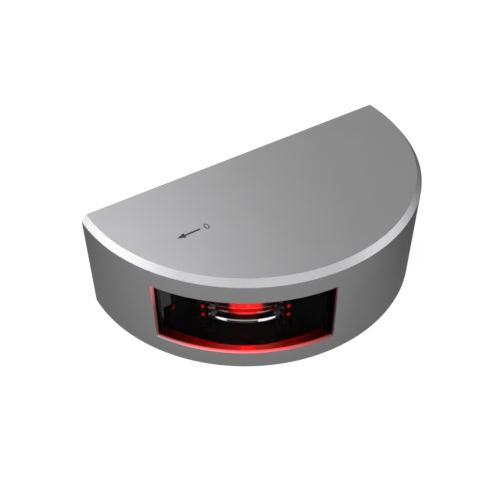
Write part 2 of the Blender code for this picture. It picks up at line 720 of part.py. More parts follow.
def clip_screw_places():
    """Return the optical-frame points of the screws under the lens clips."""
    middle = lens_half_angle() - CLIP_FOOT_ANGLE / 4
    x, y = on_circle((LENS_BACK + LENS_RADIUS) / 2, middle)
    return [(-x, y - LENS_CENTRE), (x, y - LENS_CENTRE)]


def make_lens(optics):
    """Make the lens, the clips at its two ends and the screws that hold them to the chamber's floor."""
    half_angle = lens_half_angle()
    bent = swept(lens_profile(), -half_angle, half_angle, LENS_CENTRE)
    place("lens", bent, clear_lens(), optics)
    seat = WINDOW_MIDDLE - LENS_HALF_HEIGHT - FIT
    top = WINDOW_MIDDLE + LENS_HALF_HEIGHT - CLIP_WALL
    end = half_angle + (FIT + CLIP_WALL) / LENS_BACK
    stop = half_angle + FIT / LENS_BACK
    lip = half_angle - CLIP_LIP_ANGLE
    foot = half_angle - CLIP_FOOT_ANGLE
    body_profile = rectangle(CLIP_INSIDE, CLIP_OUTSIDE, SHIELD_FLOOR + FIT, top)
    groove_profile = rectangle(LENS_BACK - FIT, LENS_RADIUS + FIT, seat, top + CLIP_WALL)
    relief_profile = rectangle(CLIP_INSIDE - CLIP_WALL, CLIP_OUTSIDE + CLIP_WALL, seat, top + CLIP_WALL)
    margin = CLIP_WALL / LENS_RADIUS
    places = clip_screw_places()
    for index, name in enumerate(("lens_clip_left", "lens_clip_right")):
        side = 2 * index - 1

        def arc(profile, start, finish):
            low, high = sorted((side * start, side * finish))
            return swept(profile, low, high, LENS_CENTRE)

        clip = place(name, arc(body_profile, foot, end), black_moulding(), optics)
        cut(clip, tool(f"tool_groove_{name}", arc(groove_profile, lip - margin, stop), optics))
        cut(clip, tool(f"tool_relief_{name}", arc(relief_profile, foot - margin, lip), optics))
        hole = columns([places[index]], TAP_RADIUS, SHIELD_FLOOR - SHIELD_WALL,
                       SHIELD_FLOOR - SHIELD_WALL + CLIP_SCREW_LENGTH + FIT)
        cut(clip, tool(f"tool_hole_{name}", hole, optics))
    screw_set("clip_screw", places, SHIELD_FLOOR - SHIELD_WALL - FIT, CLIP_SCREW_LENGTH, stainless_steel(),
              optics)


def led_shape():
    """Return one light source: a square package with a dome, facing -Y, its centre on the dome's."""
    bm = block(LED_SIDE, LED_THICKNESS, LED_SIDE)
    bmesh.ops.translate(bm, verts=bm.verts, vec=(0, LED_THICKNESS / 2, 0))
    return bm


def led_dome():
    """Return the dome of a light source, sunk a little into its package."""
    arc = [math.pi / 2 * i / DOME_STEPS for i in range(DOME_STEPS + 1)]
    profile = [(LED_DOME_RADIUS * math.cos(angle), LED_DOME_RADIUS * math.sin(angle)) for angle in arc]
    profile[-1] = (0, LED_DOME_RADIUS)
    sunk = -LED_THICKNESS / 2
    bm = turned([(0, sunk), (LED_DOME_RADIUS, sunk)] + profile, SCREW_SEGMENTS)
    bmesh.ops.rotate(bm, verts=bm.verts, cent=(0, 0, 0), matrix=Matrix.Rotation(math.pi / 2, 3, "X"))
    return bm


def make_light_source(optics):
    """Make the light sources, their board, its screws and the bracket behind it."""
    right = BRACKET_HALF_WIDTH + LED_BOARD_EDGE
    left = -BRACKET_HALF_WIDTH
    board_bottom = WINDOW_MIDDLE - LED_BOARD_HEIGHT / 2
    outline = [(left, -LED_BOARD_FRONT), (right, -LED_BOARD_FRONT), (right, -LED_BOARD_BACK),
               (left, -LED_BOARD_BACK)]
    board_shape = prism(outline, board_bottom, board_bottom + LED_BOARD_HEIGHT)
    board = place("led_board", board_shape, white_board(), optics)
    for i in range(LED_COUNT):
        across = (i - (LED_COUNT - 1) / 2) * LED_PITCH
        centre = (across, -LED_DISTANCE, WINDOW_MIDDLE)
        led = place(f"led_{i + 1}", led_shape(), red_led(), optics, centre)
        dome = tool(f"tool_dome_{i + 1}", led_dome(), optics)
        dome.location = centre
        combine(led, dome, "UNION")
    flange_bottom = BRACKET_TOP - BRACKET_PLATE
    flange_back = BRACKET_PLATE_BACK - BRACKET_FLANGE_LENGTH
    plate_bottom = board_bottom - BRACKET_FOOT
    section = [(-BRACKET_FRONT, plate_bottom), (-BRACKET_PLATE_BACK, plate_bottom),
               (-BRACKET_PLATE_BACK, flange_bottom), (-flange_back, flange_bottom),
               (-flange_back, BRACKET_TOP), (-BRACKET_FRONT, BRACKET_TOP)]
    side = [(-BRACKET_HALF_WIDTH, y, z) for y, z in section]
    bracket = place("led_bracket", extruded(side, (2 * BRACKET_HALF_WIDTH, 0, 0)), bare_aluminium(), optics)
    places = bracket_screw_places()
    flange_holes = columns(places, TAP_RADIUS, flange_bottom - BRACKET_PLATE, BRACKET_TOP + BRACKET_PLATE)
    cut(bracket, tool("tool_bracket_holes", flange_holes, optics))
    screw_set("bracket_screw", places, flange_bottom - FIT, ROOF_INSIDE + SCREW_REACH - flange_bottom + FIT,
              stainless_steel(), optics)
    length = LED_BOARD_FRONT - BRACKET_PLATE_BACK
    board_screw_places = [(side * LED_BOARD_SCREW_ACROSS, -LED_BOARD_FRONT - FIT) for side in (-1, 1)]
    screw_set("led_board_screw", board_screw_places, WINDOW_MIDDLE, length, stainless_steel(), optics,
              (-math.pi / 2, 0, 0))
    for number, (x, y) in enumerate(board_screw_places, start=1):
        hole = columns([(0, 0)], TAP_RADIUS, -length, 2 * length)
        hole_tool = tool(f"tool_led_board_hole_{number}", hole, optics)
        hole_tool.location = (x, y, WINDOW_MIDDLE)
        hole_tool.rotation_euler = (-math.pi / 2, 0, 0)
        cut(board, hole_tool)
        cut(bracket, hole_tool)


def make_driver(centre):
    """Make the driver board, the spacers it hangs on, its screws and the pieces soldered to it."""
    board_centre = (BOARD_CENTRE_X, BOARD_CENTRE_Y, BOARD_TOP - BOARD_THICKNESS / 2)
    board = place("driver_board", block(BOARD_LENGTH, BOARD_WIDTH, BOARD_THICKNESS), green_board(), centre,
                  board_centre)
    places = spacer_places()
    holes = columns(places, TAP_RADIUS, BOARD_BOTTOM - BOARD_THICKNESS, BOARD_TOP + BOARD_THICKNESS)
    cut(board, tool("tool_board_holes", holes, centre))
    stud = SPACER_LENGTH + SCREW_REACH
    spacer_profile = [(0, SPACER_BORE_DEPTH), (TAP_RADIUS, SPACER_BORE_DEPTH), (TAP_RADIUS, 0),
                      (SPACER_RADIUS, 0), (SPACER_RADIUS, SPACER_LENGTH), (SCREW_RADIUS, SPACER_LENGTH),
                      (SCREW_RADIUS, stud), (0, stud)]
    spacer = None
    for number, (x, y) in enumerate(places, start=1):
        title = f"board_spacer_{number}"
        if spacer is None:
            spacer = place(title, turned(spacer_profile, SCREW_SEGMENTS), nickel_brass(), centre,
                           (x, y, SPACER_BOTTOM))
        else:
            place_mesh(title, spacer.data, nickel_brass(), centre, (x, y, SPACER_BOTTOM))
    reach = BOARD_THICKNESS + SPACER_BORE_DEPTH - FIT
    screw_set("board_screw", places, PART_TOP, reach, stainless_steel(), centre)
    make_board_pieces(centre)


def make_board_pieces(centre):
    """Make the pieces below the board, in two rows from its left edge."""
    edge = BOARD_CENTRE_X - BOARD_LENGTH / 2
    y = BOARD_CENTRE_Y + BACK_ROW
    x = edge + TERMINAL_DEPTH / 2
    make_terminal_block(centre, x, BOARD_CENTRE_Y + BACK_ROW - BOARD_PIECE_GAP / 2)
    x += TERMINAL_DEPTH / 2 + BOARD_PIECE_GAP + INDUCTOR_SIDE / 2
    coil = softened(block(INDUCTOR_SIDE, INDUCTOR_SIDE, INDUCTOR_HEIGHT), 2 * EDGE_BREAK)
    place("inductor", coil, dark_component(), centre, (x, y, PART_TOP - INDUCTOR_HEIGHT / 2))
    x += INDUCTOR_SIDE / 2 + BOARD_PIECE_GAP + CAPACITOR_RADIUS
    can = [(0, -CAPACITOR_HEIGHT), (CAPACITOR_RADIUS - EDGE_BREAK, -CAPACITOR_HEIGHT),
           (CAPACITOR_RADIUS, EDGE_BREAK - CAPACITOR_HEIGHT), (CAPACITOR_RADIUS, 0), (0, 0)]
    first = place("input_capacitor", turned(can, BOSS_SEGMENTS), capacitor_can(), centre, (x, y, PART_TOP))
    y = BOARD_CENTRE_Y + FRONT_ROW
    x = edge + CONNECTOR_DEPTH + BOARD_PIECE_GAP + CAPACITOR_RADIUS
    place_mesh("output_capacitor", first.data, capacitor_can(), centre, (x, y, PART_TOP))
    x += CAPACITOR_RADIUS + BOARD_PIECE_GAP + CHIP_LENGTH / 2
    chip = softened(block(CHIP_LENGTH, CHIP_WIDTH, CHIP_HEIGHT), EDGE_BREAK / 2)
    place("driver_chip", chip, dark_component(), centre, (x, y, PART_TOP - CHIP_HEIGHT / 2))
    make_leads(centre, edge + CONNECTOR_DEPTH / 2, BOARD_CENTRE_Y + CONNECTOR_ROW)


def make_terminal_block(centre, x, y):
    """Make the block that takes the cable's two cores, with its wire entries towards the gland."""
    body = block(TERMINAL_DEPTH, TERMINAL_LENGTH, TERMINAL_HEIGHT)
    bottom = PART_TOP - TERMINAL_HEIGHT
    where = (x, y, bottom + TERMINAL_HEIGHT / 2)
    terminal = place("terminal_block", body, terminal_plastic(), centre, where)
    for number, side in enumerate((-1, 1), start=1):
        entry = columns([(0, 0)], TERMINAL_ENTRY_RADIUS, -TERMINAL_ENTRY_DEPTH, TERMINAL_ENTRY_DEPTH)
        entry_tool = tool(f"tool_wire_entry_{number}", entry, centre)
        entry_tool.location = (x - TERMINAL_DEPTH / 2, y + side * TERMINAL_PITCH / 2,
                               bottom + TERMINAL_ENTRY_RISE)
        entry_tool.rotation_euler = (0, -math.pi / 2, 0)
        cut(terminal, entry_tool)


def make_leads(centre, x, y):
    """Make the two-way connector at the board's edge and the leads up into it from the LED board."""
    shape = softened(block(CONNECTOR_DEPTH, CONNECTOR_LENGTH, CONNECTOR_HEIGHT), EDGE_BREAK)
    middle = PART_TOP - CONNECTOR_HEIGHT / 2
    place("led_connector", shape, white_board(), centre, (x, y, middle))
    across = BRACKET_HALF_WIDTH + LED_BOARD_EDGE / 2
    board_bottom = WINDOW_MIDDLE - LED_BOARD_HEIGHT / 2
    start = Vector((*in_plan((across, -LED_BOARD_BACK + LEAD_RADIUS)), board_bottom + LEAD_RISE))
    leave = LEAD_REACH * Vector((*in_plan((0, 1)), -1))
    arrive = LEAD_REACH * Vector((0, 0, 1))
    entry = middle - CONNECTOR_HEIGHT / 2 - FIT
    leads = (("led_lead_positive", 1, lead_red()), ("led_lead_negative", -1, lead_black()))
    for name, side, finish in leads:
        first = start + Vector((0, 0, side * LEAD_PITCH / 2))
        last = Vector((x, y + side * LEAD_PITCH / 2, entry))
        curve = bpy.data.curves.new(name, "CURVE")
        curve.dimensions = "3D"
        curve.bevel_depth = LEAD_RADIUS
        curve.bevel_resolution = 2
        curve.use_fill_caps = True
        curve.materials.append(finish)
        spline = curve.splines.new("POLY")
        spline.points.add(LEAD_POINTS - 1)
        for i, point in enumerate(spline.points):
            share = i / (LEAD_POINTS - 1)
            near = (1 - share) ** 3 * first + 3 * (1 - share) ** 2 * share * (first + leave)
            far = 3 * (1 - share) * share ** 2 * (last - arrive) + share ** 3 * last
            point.co = (*(near + far), 1)
        lead = bpy.data.objects.new(name, curve)
        bpy.context.scene.collection.objects.link(lead)
        lead.parent = centre


def make_gland(centre):
    """Make the cable gland: a flush body in the base plate, a rubber bush and a hexagon clamping nut."""
    where = (GLAND_X, GLAND_Y, 0)
    flange = BASE_THICKNESS + FIT
    shoulder = flange + GLAND_FLANGE_THICKNESS
    sleeve_top = shoulder + GLAND_SLEEVE_HEIGHT
    bore = CABLE_RADIUS + FIT
    seal_outside = CABLE_RADIUS + GLAND_SEAL_WALL
    socket = seal_outside + FIT
    sleeve = socket + GLAND_SLEEVE_WALL
    body = [(bore, FIT), (GLAND_STUB_RADIUS, FIT), (GLAND_STUB_RADIUS, flange),
            (GLAND_FLANGE_RADIUS, flange), (GLAND_FLANGE_RADIUS, shoulder), (sleeve, shoulder),
            (sleeve, sleeve_top), (socket, sleeve_top), (socket, shoulder), (bore, shoulder)]
    place("gland_body", turned(body, BOSS_SEGMENTS), nickel_brass(), centre, where)
    seal = rectangle(CABLE_RADIUS, seal_outside, shoulder + FIT, sleeve_top - FIT)
    place("gland_seal", turned(seal, BOSS_SEGMENTS), sealing_rubber(), centre, where)
    hexagon = (sleeve + FIT + GLAND_NUT_WALL) / math.cos(math.pi / 6)
    nut_bottom = shoulder + FIT
    nut_top = sleeve_top + FIT + GLAND_NUT_WALL
    corners = [on_circle(hexagon, math.pi / 3 * i) for i in range(6)]
    nut = place("gland_nut", prism(corners, nut_bottom, nut_top), nickel_brass(), centre, where)
    hollow = [(0, nut_bottom - FIT), (sleeve + FIT, nut_bottom - FIT), (sleeve + FIT, sleeve_top + FIT),
              (bore, sleeve_top + FIT), (bore, nut_top + FIT), (0, nut_top + FIT)]
    hollow_tool = tool("tool_nut_hollow", turned(hollow, BOSS_SEGMENTS), centre)
    hollow_tool.location = where
    cut(nut, hollow_tool)


def main():
    """Clear the scene and build the light."""
    for old in list(bpy.data.objects):
        bpy.data.objects.remove(old, do_unlink=True)
    centre = empty("plan_centre", location=(0, CENTRE_Y, 0))
    optics = empty("optical_axis", parent=centre, turn=AXIS_ANGLE)
    make_housing(centre, optics)
    make_inserts(centre)
    make_base(centre)
    make_window(optics)
    make_light_shield(optics)
    make_lens(optics)
    make_light_source(optics)
    make_driver(centre)
    make_gland(centre)
    bpy.context.view_layer.update()


main()
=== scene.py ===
"""Looks of a port sidelight for a boat, laid out as a Blender add-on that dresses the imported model.

Metres, +Z up. The flat back faces +Y, the curved front -Y, and the bow is towards -X. Pieces are modelled
about the centre of the curved front. Optical pieces are modelled with the window's axis along -Y and are
then turned to its bearing. Plan angles run from -Y towards +X.
"""

import math

import bmesh
import bpy
from bpy.props import FloatProperty, FloatVectorProperty, PointerProperty
from bpy.types import Operator, Panel, PropertyGroup
from mathutils import Matrix, Vector


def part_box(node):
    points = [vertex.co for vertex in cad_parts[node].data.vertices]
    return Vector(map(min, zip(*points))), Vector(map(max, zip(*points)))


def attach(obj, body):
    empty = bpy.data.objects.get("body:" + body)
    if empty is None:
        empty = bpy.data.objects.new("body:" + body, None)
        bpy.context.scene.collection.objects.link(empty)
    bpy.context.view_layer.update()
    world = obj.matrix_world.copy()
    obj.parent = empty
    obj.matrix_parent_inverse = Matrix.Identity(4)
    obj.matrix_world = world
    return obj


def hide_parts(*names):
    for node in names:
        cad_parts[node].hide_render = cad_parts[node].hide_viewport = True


bl_info = {
    "name": "Port Sidelight",
    "version": (1, 0, 0),
    "blender": (4, 5, 0),
    "location": "View3D > Sidebar > Sidelight",
    "description": "Dresses a port sidelight: machined housing, curved window, belt lens and red light",
    "category": "Object",
}

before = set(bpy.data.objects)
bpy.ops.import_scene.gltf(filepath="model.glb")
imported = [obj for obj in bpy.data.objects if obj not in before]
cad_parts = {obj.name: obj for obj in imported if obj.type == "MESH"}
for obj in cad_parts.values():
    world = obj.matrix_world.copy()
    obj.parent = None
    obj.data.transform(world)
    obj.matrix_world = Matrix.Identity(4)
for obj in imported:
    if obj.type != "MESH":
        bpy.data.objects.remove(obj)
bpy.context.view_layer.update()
HOUSING_LOW, HOUSING_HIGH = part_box("housing")
PANE_LOW, PANE_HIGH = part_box("window_pane")
BASE_LOW, BASE_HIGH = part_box("base_plate")

# Clearances between pieces
FIT = 0.0002
HOLE_SPARE = 0.0008
COUNTERSINK_CLEARANCE = 0.0005
TAP_CLEARANCE = 0.0002

# Facets and small edges
FINE_TURN = 480
BOSS_TURN = 64
SCREW_TURN = 40
ARC_STEP = math.radians(0.75)
CORNER_STEPS = 24
BELT_STEPS = 28
DOME_STEPS = 10
SHARP_ANGLE = math.radians(30)
TINY = 0.00001
MERGE_DISTANCE = 1e-7
FINE_EDGE = 0.0001
SMALL_EDGE = 0.00012
EDGE = 0.00015
BEND_RADIUS = 0.0015

# Places along the walls of the screws that hold the base
BASE_SCREW_ANGLES = [math.radians(degrees) for degrees in (-67, 4.5, 36, 67)]
BASE_SCREW_BACK_X = (-0.014, 0.024)

# Small pan-head screws
PAN_HEAD_RADIUS = 0.0024
PAN_HEAD_HEIGHT = 0.0014
PAN_SHANK_RADIUS = 0.00125
PAN_REACH = 0.0024
TAP_RADIUS = PAN_SHANK_RADIUS + TAP_CLEARANCE
SOCKET_RADIUS = 0.00115
THREAD_PITCH = 0.0005
THREAD_DEPTH = 0.00022

# Values that several finishes share
ACRYLIC_IOR = 1.49
PANE_MIRRORED = 0.06
LENS_COATING = 0.1
BLACK_GLOSS = 0.03
RUBBER_ROUGHNESS = 0.8
ALUMINIUM_ROUGHNESS = 0.43


def length(name, description, default):
    """Return a length property."""
    return FloatProperty(name=name, description=description, default=default, unit="LENGTH", precision=5)


def angle(name, description, degrees):
    """Return an angle property."""
    return FloatProperty(name=name, description=description, default=math.radians(degrees), subtype="ANGLE")


def share(name, description, default):
    """Return a property for a plain number."""
    return FloatProperty(name=name, description=description, default=default, subtype="FACTOR")


def colour(name, description, default):
    """Return a colour property."""
    return FloatVectorProperty(name=name, description=description, default=default, size=3, min=0, max=1,
                               subtype="COLOR")


class HousingSettings(PropertyGroup):
    """Sizes of the machined housing."""
    radius: length("Radius", "Radius of the curved front", (HOUSING_HIGH.x - HOUSING_LOW.x) / 2)
    height: length("Height", "Height of the housing", HOUSING_HIGH.z)
    back_offset: length("Back offset", "Flat back, behind the centre of the curve", 0.0035)
    chamfer_width: length("Chamfer width", "Width of the chamfer round the top, in plan", 0.00205)
    chamfer_drop: length("Chamfer drop", "Height of the chamfer round the top", 0.0024)
    edge_break: length("Edge break", "Width of the broken outer edges", 0.00018)
    back_wall: length("Back wall", "Thickness of the back wall", 0.005)
    roof: length("Roof", "Thickness of the roof", 0.004)
    mark_depth: length("Mark depth", "Depth of the engraved direction mark", 0.00012)
    mark_x: length("Mark X", "Tip of the direction arrow along X", -0.0433)
    mark_y: length("Mark Y", "Middle of the direction arrow along Y", -0.0246)
    mark_length: length("Mark length", "Length of the direction arrow", 0.0089)


class BaseSettings(PropertyGroup):
    """Sizes of the base plate, its gasket, its screws and the threaded inserts."""
    thickness: length("Thickness", "Thickness of the base plate", BASE_HIGH.z - BASE_LOW.z)
    rim: length("Rim", "Rim of the housing round the base plate", 0.003)
    gasket: length("Gasket", "Thickness of the gasket", 0.0008)
    gasket_inset: length("Gasket inset", "Gap between the gasket's edges and the ledge's", 0.0004)
    screw_inset: length("Screw inset", "Screws' distance from the inner wall", 0.0028)
    screw_radius: length("Screw radius", "Radius of a screw's shank", 0.0014)
    screw_head: length("Screw head", "Radius of a screw's head", 0.0028)
    screw_length: length("Screw length", "Length of a screw", 0.010)
    screw_boss: length("Screw boss", "Radius of the boss round a screw", 0.0036)
    insert_distance: length("Insert distance", "Inserts' distance from the ends and the back", 0.0115)
    insert_length: length("Insert length", "Length of a threaded insert", 0.011)
    insert_radius: length("Insert radius", "Outer radius of a threaded insert", 0.0035)
    insert_bore: length("Insert bore", "Inner radius of a threaded insert", 0.0021)
    insert_boss: length("Insert boss", "Radius of the solid corner round an insert", 0.0082)
    insert_ledge: length("Insert ledge", "Ledge round the solid corner", 0.0024)


class WindowSettings(PropertyGroup):
    """Sizes of the window, its lip and the pane behind it."""
    bearing: angle("Bearing", "Bearing of the window's axis in plan", -33.75)
    half_angle: angle("Half angle", "Half of the window's opening", 28.125)
    lip: length("Lip", "Thickness of the lip round the window", 0.0015)
    seal: length("Seal", "Thickness of the sealing bead", 0.0006)
    seal_width: length("Seal width", "Width of the sealing bead", 0.0009)
    overlap: length("Overlap", "Width of the pane's edge behind the lip", 0.0013)
    pane: length("Pane", "Thickness of the pane", 0.0046)
    rim_break: length("Rim break", "Width of the broken edge round the window", 0.00012)


class OpticsSettings(PropertyGroup):
    """Sizes of the chamber, the lens, its clips and the light sources."""
    wall: length("Wall", "Wall of the black chamber", 0.0012)
    clearance: length("Clearance", "Chamber's floor and ceiling beyond the window", 0.0012)
    front_half_angle: angle("Front half angle", "Half of the chamber's front", 28.6)
    back_half_width: length("Back half width", "Half of the chamber's opening at the back", 0.012)
    back_gap: length("Back gap", "Gap between the light sources and the chamber", 0.0006)
    post_radius: length("Post radius", "Radius of the chamber's posts", 0.0028)
    lens_radius: length("Lens radius", "Radius of the bent lens", 0.030)
    lens_gap: length("Lens gap", "Gap between the lens and the pane", 0.0060)
    lens_depth: length("Lens depth", "Depth of the lens", 0.0065)
    side_gap: length("Side gap", "Gap between the clips and the side screens", 0.0008)
    belt_half_height: length("Belt half height", "Half height of the convex belt", 0.0040)
    belt_bulge: length("Belt bulge", "Rise of the convex belt", 0.0022)
    ring_sill_gap: length("Ring sill gap", "Gap in height between the last ring and the sill", 0.0009)
    ring_crest: length("Ring crest", "Drop of a ring's crest below the belt's", 0.0004)
    ring_foot: length("Ring foot", "Drop of a ring's foot below the belt's crest", 0.0022)
    clip_wall: length("Clip wall", "Wall of the clips at the lens ends", 0.0012)
    clip_lip: angle("Clip lip", "Part of the lens that a clip's lip holds", 2)
    clip_foot: angle("Clip foot", "Part of the lens that a clip's foot holds", 5)
    led_pitch: length("Light pitch", "Pitch of the light sources", 0.0042)
    led_side: length("Light side", "Side of a light source", 0.0034)
    led_thickness: length("Light thickness", "Thickness of a light source", 0.001)
    dome_radius: length("Dome radius", "Radius of a light source's dome", 0.0015)
    board_height: length("Board height", "Height of the light sources' board", 0.012)
    board_thickness: length("Board thickness", "Thickness of the light sources' board", 0.0016)
    board_edge: length("Board edge", "Board's edge beyond the bracket, for the leads", 0.003)
    board_screw_across: length("Board screws", "Board screws' distance from the axis", 0.0095)
    bracket_half_width: length("Bracket half width", "Half width of the bracket", 0.0125)
    bracket_plate: length("Bracket plate", "Thickness of the bracket", 0.003)
    bracket_flange: length("Bracket flange", "Length of the bracket's flange", 0.0125)
    bracket_foot: length("Bracket foot", "Bracket's reach below the board", 0.0005)


class GlandSettings(PropertyGroup):
    """Sizes of the cable gland."""
    cable: length("Cable", "Radius of the bore in the rubber bush", 0.0033)
    stub: length("Stub", "Radius of the stub in the base plate", 0.005)
    flange: length("Flange", "Radius of the flange", 0.0072)
    flange_thickness: length("Flange thickness", "Thickness of the flange", 0.0024)
    wall: length("Wall", "Walls of the sleeve, the bush and the nut", 0.0012)
    sleeve: length("Sleeve", "Height of the sleeve", 0.006)


class FinishSettings(PropertyGroup):
    """Colours of the finishes."""
    aluminium: colour("Aluminium", "Bare machined aluminium", (0.50, 0.50, 0.51))
    steel: colour("Steel", "Stainless steel", (0.56, 0.55, 0.53))
    black: colour("Black moulding", "Black chamber and clips", (0.0025, 0.0025, 0.003))
    rubber: colour("Rubber", "Seals and gasket", (0.03, 0.03, 0.03))
    mark: colour("Mark", "Floor of the engraved direction mark", (0.035, 0.035, 0.035))
    pane: colour("Pane", "Clear pane", (0.95, 0.95, 0.95))
    lens: colour("Lens", "Clear lens", (0.95, 0.93, 0.93))
    red_light: colour("Red light", "Light of the sources", (1.0, 0.002, 0.002))
    board: colour("Driver board", "Solder mask of the driver board", (0.02, 0.16, 0.06))
    white_board: colour("White board", "Board of the light sources", (0.75, 0.75, 0.73))
    component: colour("Component", "Dark components", (0.025, 0.025, 0.028))
    can: colour("Capacitor can", "Drawn cans", (0.60, 0.60, 0.62))
    terminal: colour("Terminal", "Terminal block", (0.04, 0.18, 0.08))
    lead_red: colour("Positive lead", "Insulation of the positive lead", (0.40, 0.02, 0.02))
    lead_black: colour("Negative lead", "Insulation of the negative lead", (0.015, 0.015, 0.015))
    nickel: colour("Nickel", "Nickel plated brass", (0.55, 0.52, 0.46))


class StudioSettings(PropertyGroup):
    """Camera, floor and soft light."""
    camera: FloatVectorProperty(name="Camera", description="Place of the camera", size=3,
                                default=(-0.12980, -0.16716, 0.21195), subtype="TRANSLATION", unit="LENGTH")
    azimuth: angle("Azimuth", "Bearing that the camera looks from", -33.76)
    elevation: angle("Elevation", "Angle that the camera looks down at", 42.58)
    roll: angle("Roll", "Turn of the camera about its view", 0.105)
    focal_length: FloatProperty(name="Focal length", description="Focal length in millimetres",
                                default=56.02, unit="CAMERA")
    floor_glow: share("Floor glow", "White that the floor shows the camera by itself", 0.90)
    floor_mirrored: share("Floor mirrored", "Brightness of the floor in metal and glass", 0.44)
    room_mirrored: share("Room mirrored", "Brightness of the room in metal and glass", 0.41)
    room_fill: share("Room fill", "Soft light from all round", 0.30)


class SidelightSettings(PropertyGroup):
    """All settings of the sidelight."""
    housing: PointerProperty(type=HousingSettings)
    base: PointerProperty(type=BaseSettings)
    window: PointerProperty(type=WindowSettings)
    optics: PointerProperty(type=OpticsSettings)
    gland: PointerProperty(type=GlandSettings)
    finishes: PointerProperty(type=FinishSettings)
    studio: PointerProperty(type=StudioSettings)


class Layout:
    """Places worked out from the settings, in plan about the centre of the curved front."""

    def __init__(self, settings):
        housing = settings.housing
        base = settings.base
        window = settings.window
        optics = settings.optics
        self.centre = Matrix.Translation((0, HOUSING_HIGH.y - housing.back_offset, 0))
        self.axis = self.centre @ Matrix.Rotation(window.bearing, 4, "Z")
        self.sill = PANE_LOW.z + window.overlap
        self.top = PANE_HIGH.z - window.overlap
        self.middle = (self.sill + self.top) / 2
        self.lip_inside = housing.radius - window.lip
        self.pane_outside = self.lip_inside - window.seal - 2 * FIT
        self.pane_inside = self.pane_outside - window.pane
        self.pane_half_angle = window.half_angle + window.overlap / self.pane_outside
        self.inner_radius = self.pane_inside
        self.inner_back = housing.back_offset - housing.back_wall
        self.roof_inside = housing.height - housing.roof
        self.ledge = base.thickness + base.gasket + 2 * FIT
        self.rebate_radius = housing.radius - base.rim
        self.rebate_back = housing.back_offset - base.rim
        self.insert_y = housing.back_offset - base.insert_distance
        self.insert_x = housing.radius - base.insert_distance
        self.inserts = [(side * self.insert_x, self.insert_y) for side in (-1, 1)]
        circle = self.inner_radius - base.screw_inset
        row = self.inner_back - base.screw_inset
        self.base_screws = [on_circle(circle, turn) for turn in BASE_SCREW_ANGLES]
        self.base_screws += [(x, row) for x in BASE_SCREW_BACK_X]
        self.chamber_front = self.inner_radius - FIT
        self.chamber_floor = self.sill - optics.clearance
        self.chamber_ceiling = self.top + optics.clearance
        across = housing.radius * math.sin(window.half_angle)
        forward = housing.radius * math.cos(window.half_angle)
        self.led_distance = forward - across / math.tan(2 * window.half_angle)
        self.led_board_front = self.led_distance - optics.led_thickness - FIT
        self.bracket_front = self.led_board_front - optics.board_thickness - FIT
        self.chamber_back = self.led_distance + optics.dome_radius + optics.back_gap
        front_x, front_y = on_circle(self.chamber_front, optics.front_half_angle)
        self.screen_front = -front_y
        self.screen_angle = math.atan2(front_x - optics.back_half_width,
                                       self.screen_front - self.chamber_back)
        self.screen_back_inside = optics.back_half_width - optics.wall / math.cos(self.screen_angle)
        self.lens_centre = self.inner_radius - optics.lens_gap - optics.lens_radius
        self.lens_back = optics.lens_radius - optics.lens_depth
        self.lens_half_height = self.middle - self.sill - optics.ring_sill_gap
        self.ring_height = (self.lens_half_height - optics.belt_half_height) / 2
        self.clip_inside = self.lens_back - FIT - optics.clip_wall
        self.clip_outside = optics.lens_radius + FIT + optics.clip_wall
        room = self.screen_inside(self.lens_centre) * math.cos(self.screen_angle) - optics.side_gap
        self.clip_end = self.screen_angle + math.asin(room / self.clip_inside)
        self.lens_half_angle = self.clip_end - (FIT + optics.clip_wall) / self.lens_back

    def screen_inside(self, forward):
        """Return how far a side screen's inner face lies from the optical axis, at a distance along it."""
        return self.screen_back_inside + (forward - self.chamber_back) * math.tan(self.screen_angle)


# Shapes


def on_circle(radius, turn):
    """Return the plan point at a radius and an angle from -Y towards +X."""
    return radius * math.sin(turn), -radius * math.cos(turn)


def verts_of(geometry):
    """Return the vertices in an operator's result."""
    return [item for item in geometry if isinstance(item, bmesh.types.BMVert)]


def turned(profile, segments):
    """Turn a profile of (radius, height) points about Z; an open one starts and ends on the axis."""
    bm = bmesh.new()
    verts = [bm.verts.new((radius, 0, height)) for radius, height in profile]
    pairs = list(zip(verts, verts[1:]))
    if profile[0][0] > 0:
        pairs.append((verts[-1], verts[0]))
    edges = [bm.edges.new(pair) for pair in pairs]
    bmesh.ops.spin(bm, geom=verts + edges, cent=(0, 0, 0), axis=(0, 0, 1), angle=2 * math.pi,
                   steps=segments, use_merge=True)
    bmesh.ops.remove_doubles(bm, verts=bm.verts, dist=MERGE_DISTANCE)
    bmesh.ops.recalc_face_normals(bm, faces=bm.faces)
    return bm


def swept(profile, start, end, pivot=0.0):
    """Sweep a closed profile of (radius, height) points about an upright axis, pivot ahead of Z."""
    bm = bmesh.new()
    points = [(*on_circle(radius, start), height) for radius, height in profile]
    face = bm.faces.new([bm.verts.new(point) for point in points])
    steps = max(1, round((end - start) / ARC_STEP))
    bmesh.ops.spin(bm, geom=[face], cent=(0, 0, 0), axis=(0, 0, 1), angle=end - start, steps=steps)
    bmesh.ops.translate(bm, verts=bm.verts, vec=(0, -pivot, 0))
    bmesh.ops.recalc_face_normals(bm, faces=bm.faces)
    return bm


def rectangle(inner, outer, bottom, top):
    """Return the corners of a rectangular profile."""
    return [(inner, bottom), (outer, bottom), (outer, top), (inner, top)]


def prism(outline, bottom, top):
    """Extrude a plan outline from one height to another."""
    bm = bmesh.new()
    face = bm.faces.new([bm.verts.new((x, y, bottom)) for x, y in outline])
    grown = bmesh.ops.extrude_face_region(bm, geom=[face])["geom"]
    bmesh.ops.translate(bm, verts=verts_of(grown), vec=(0, 0, top - bottom))
    bmesh.ops.recalc_face_normals(bm, faces=bm.faces)
    return bm


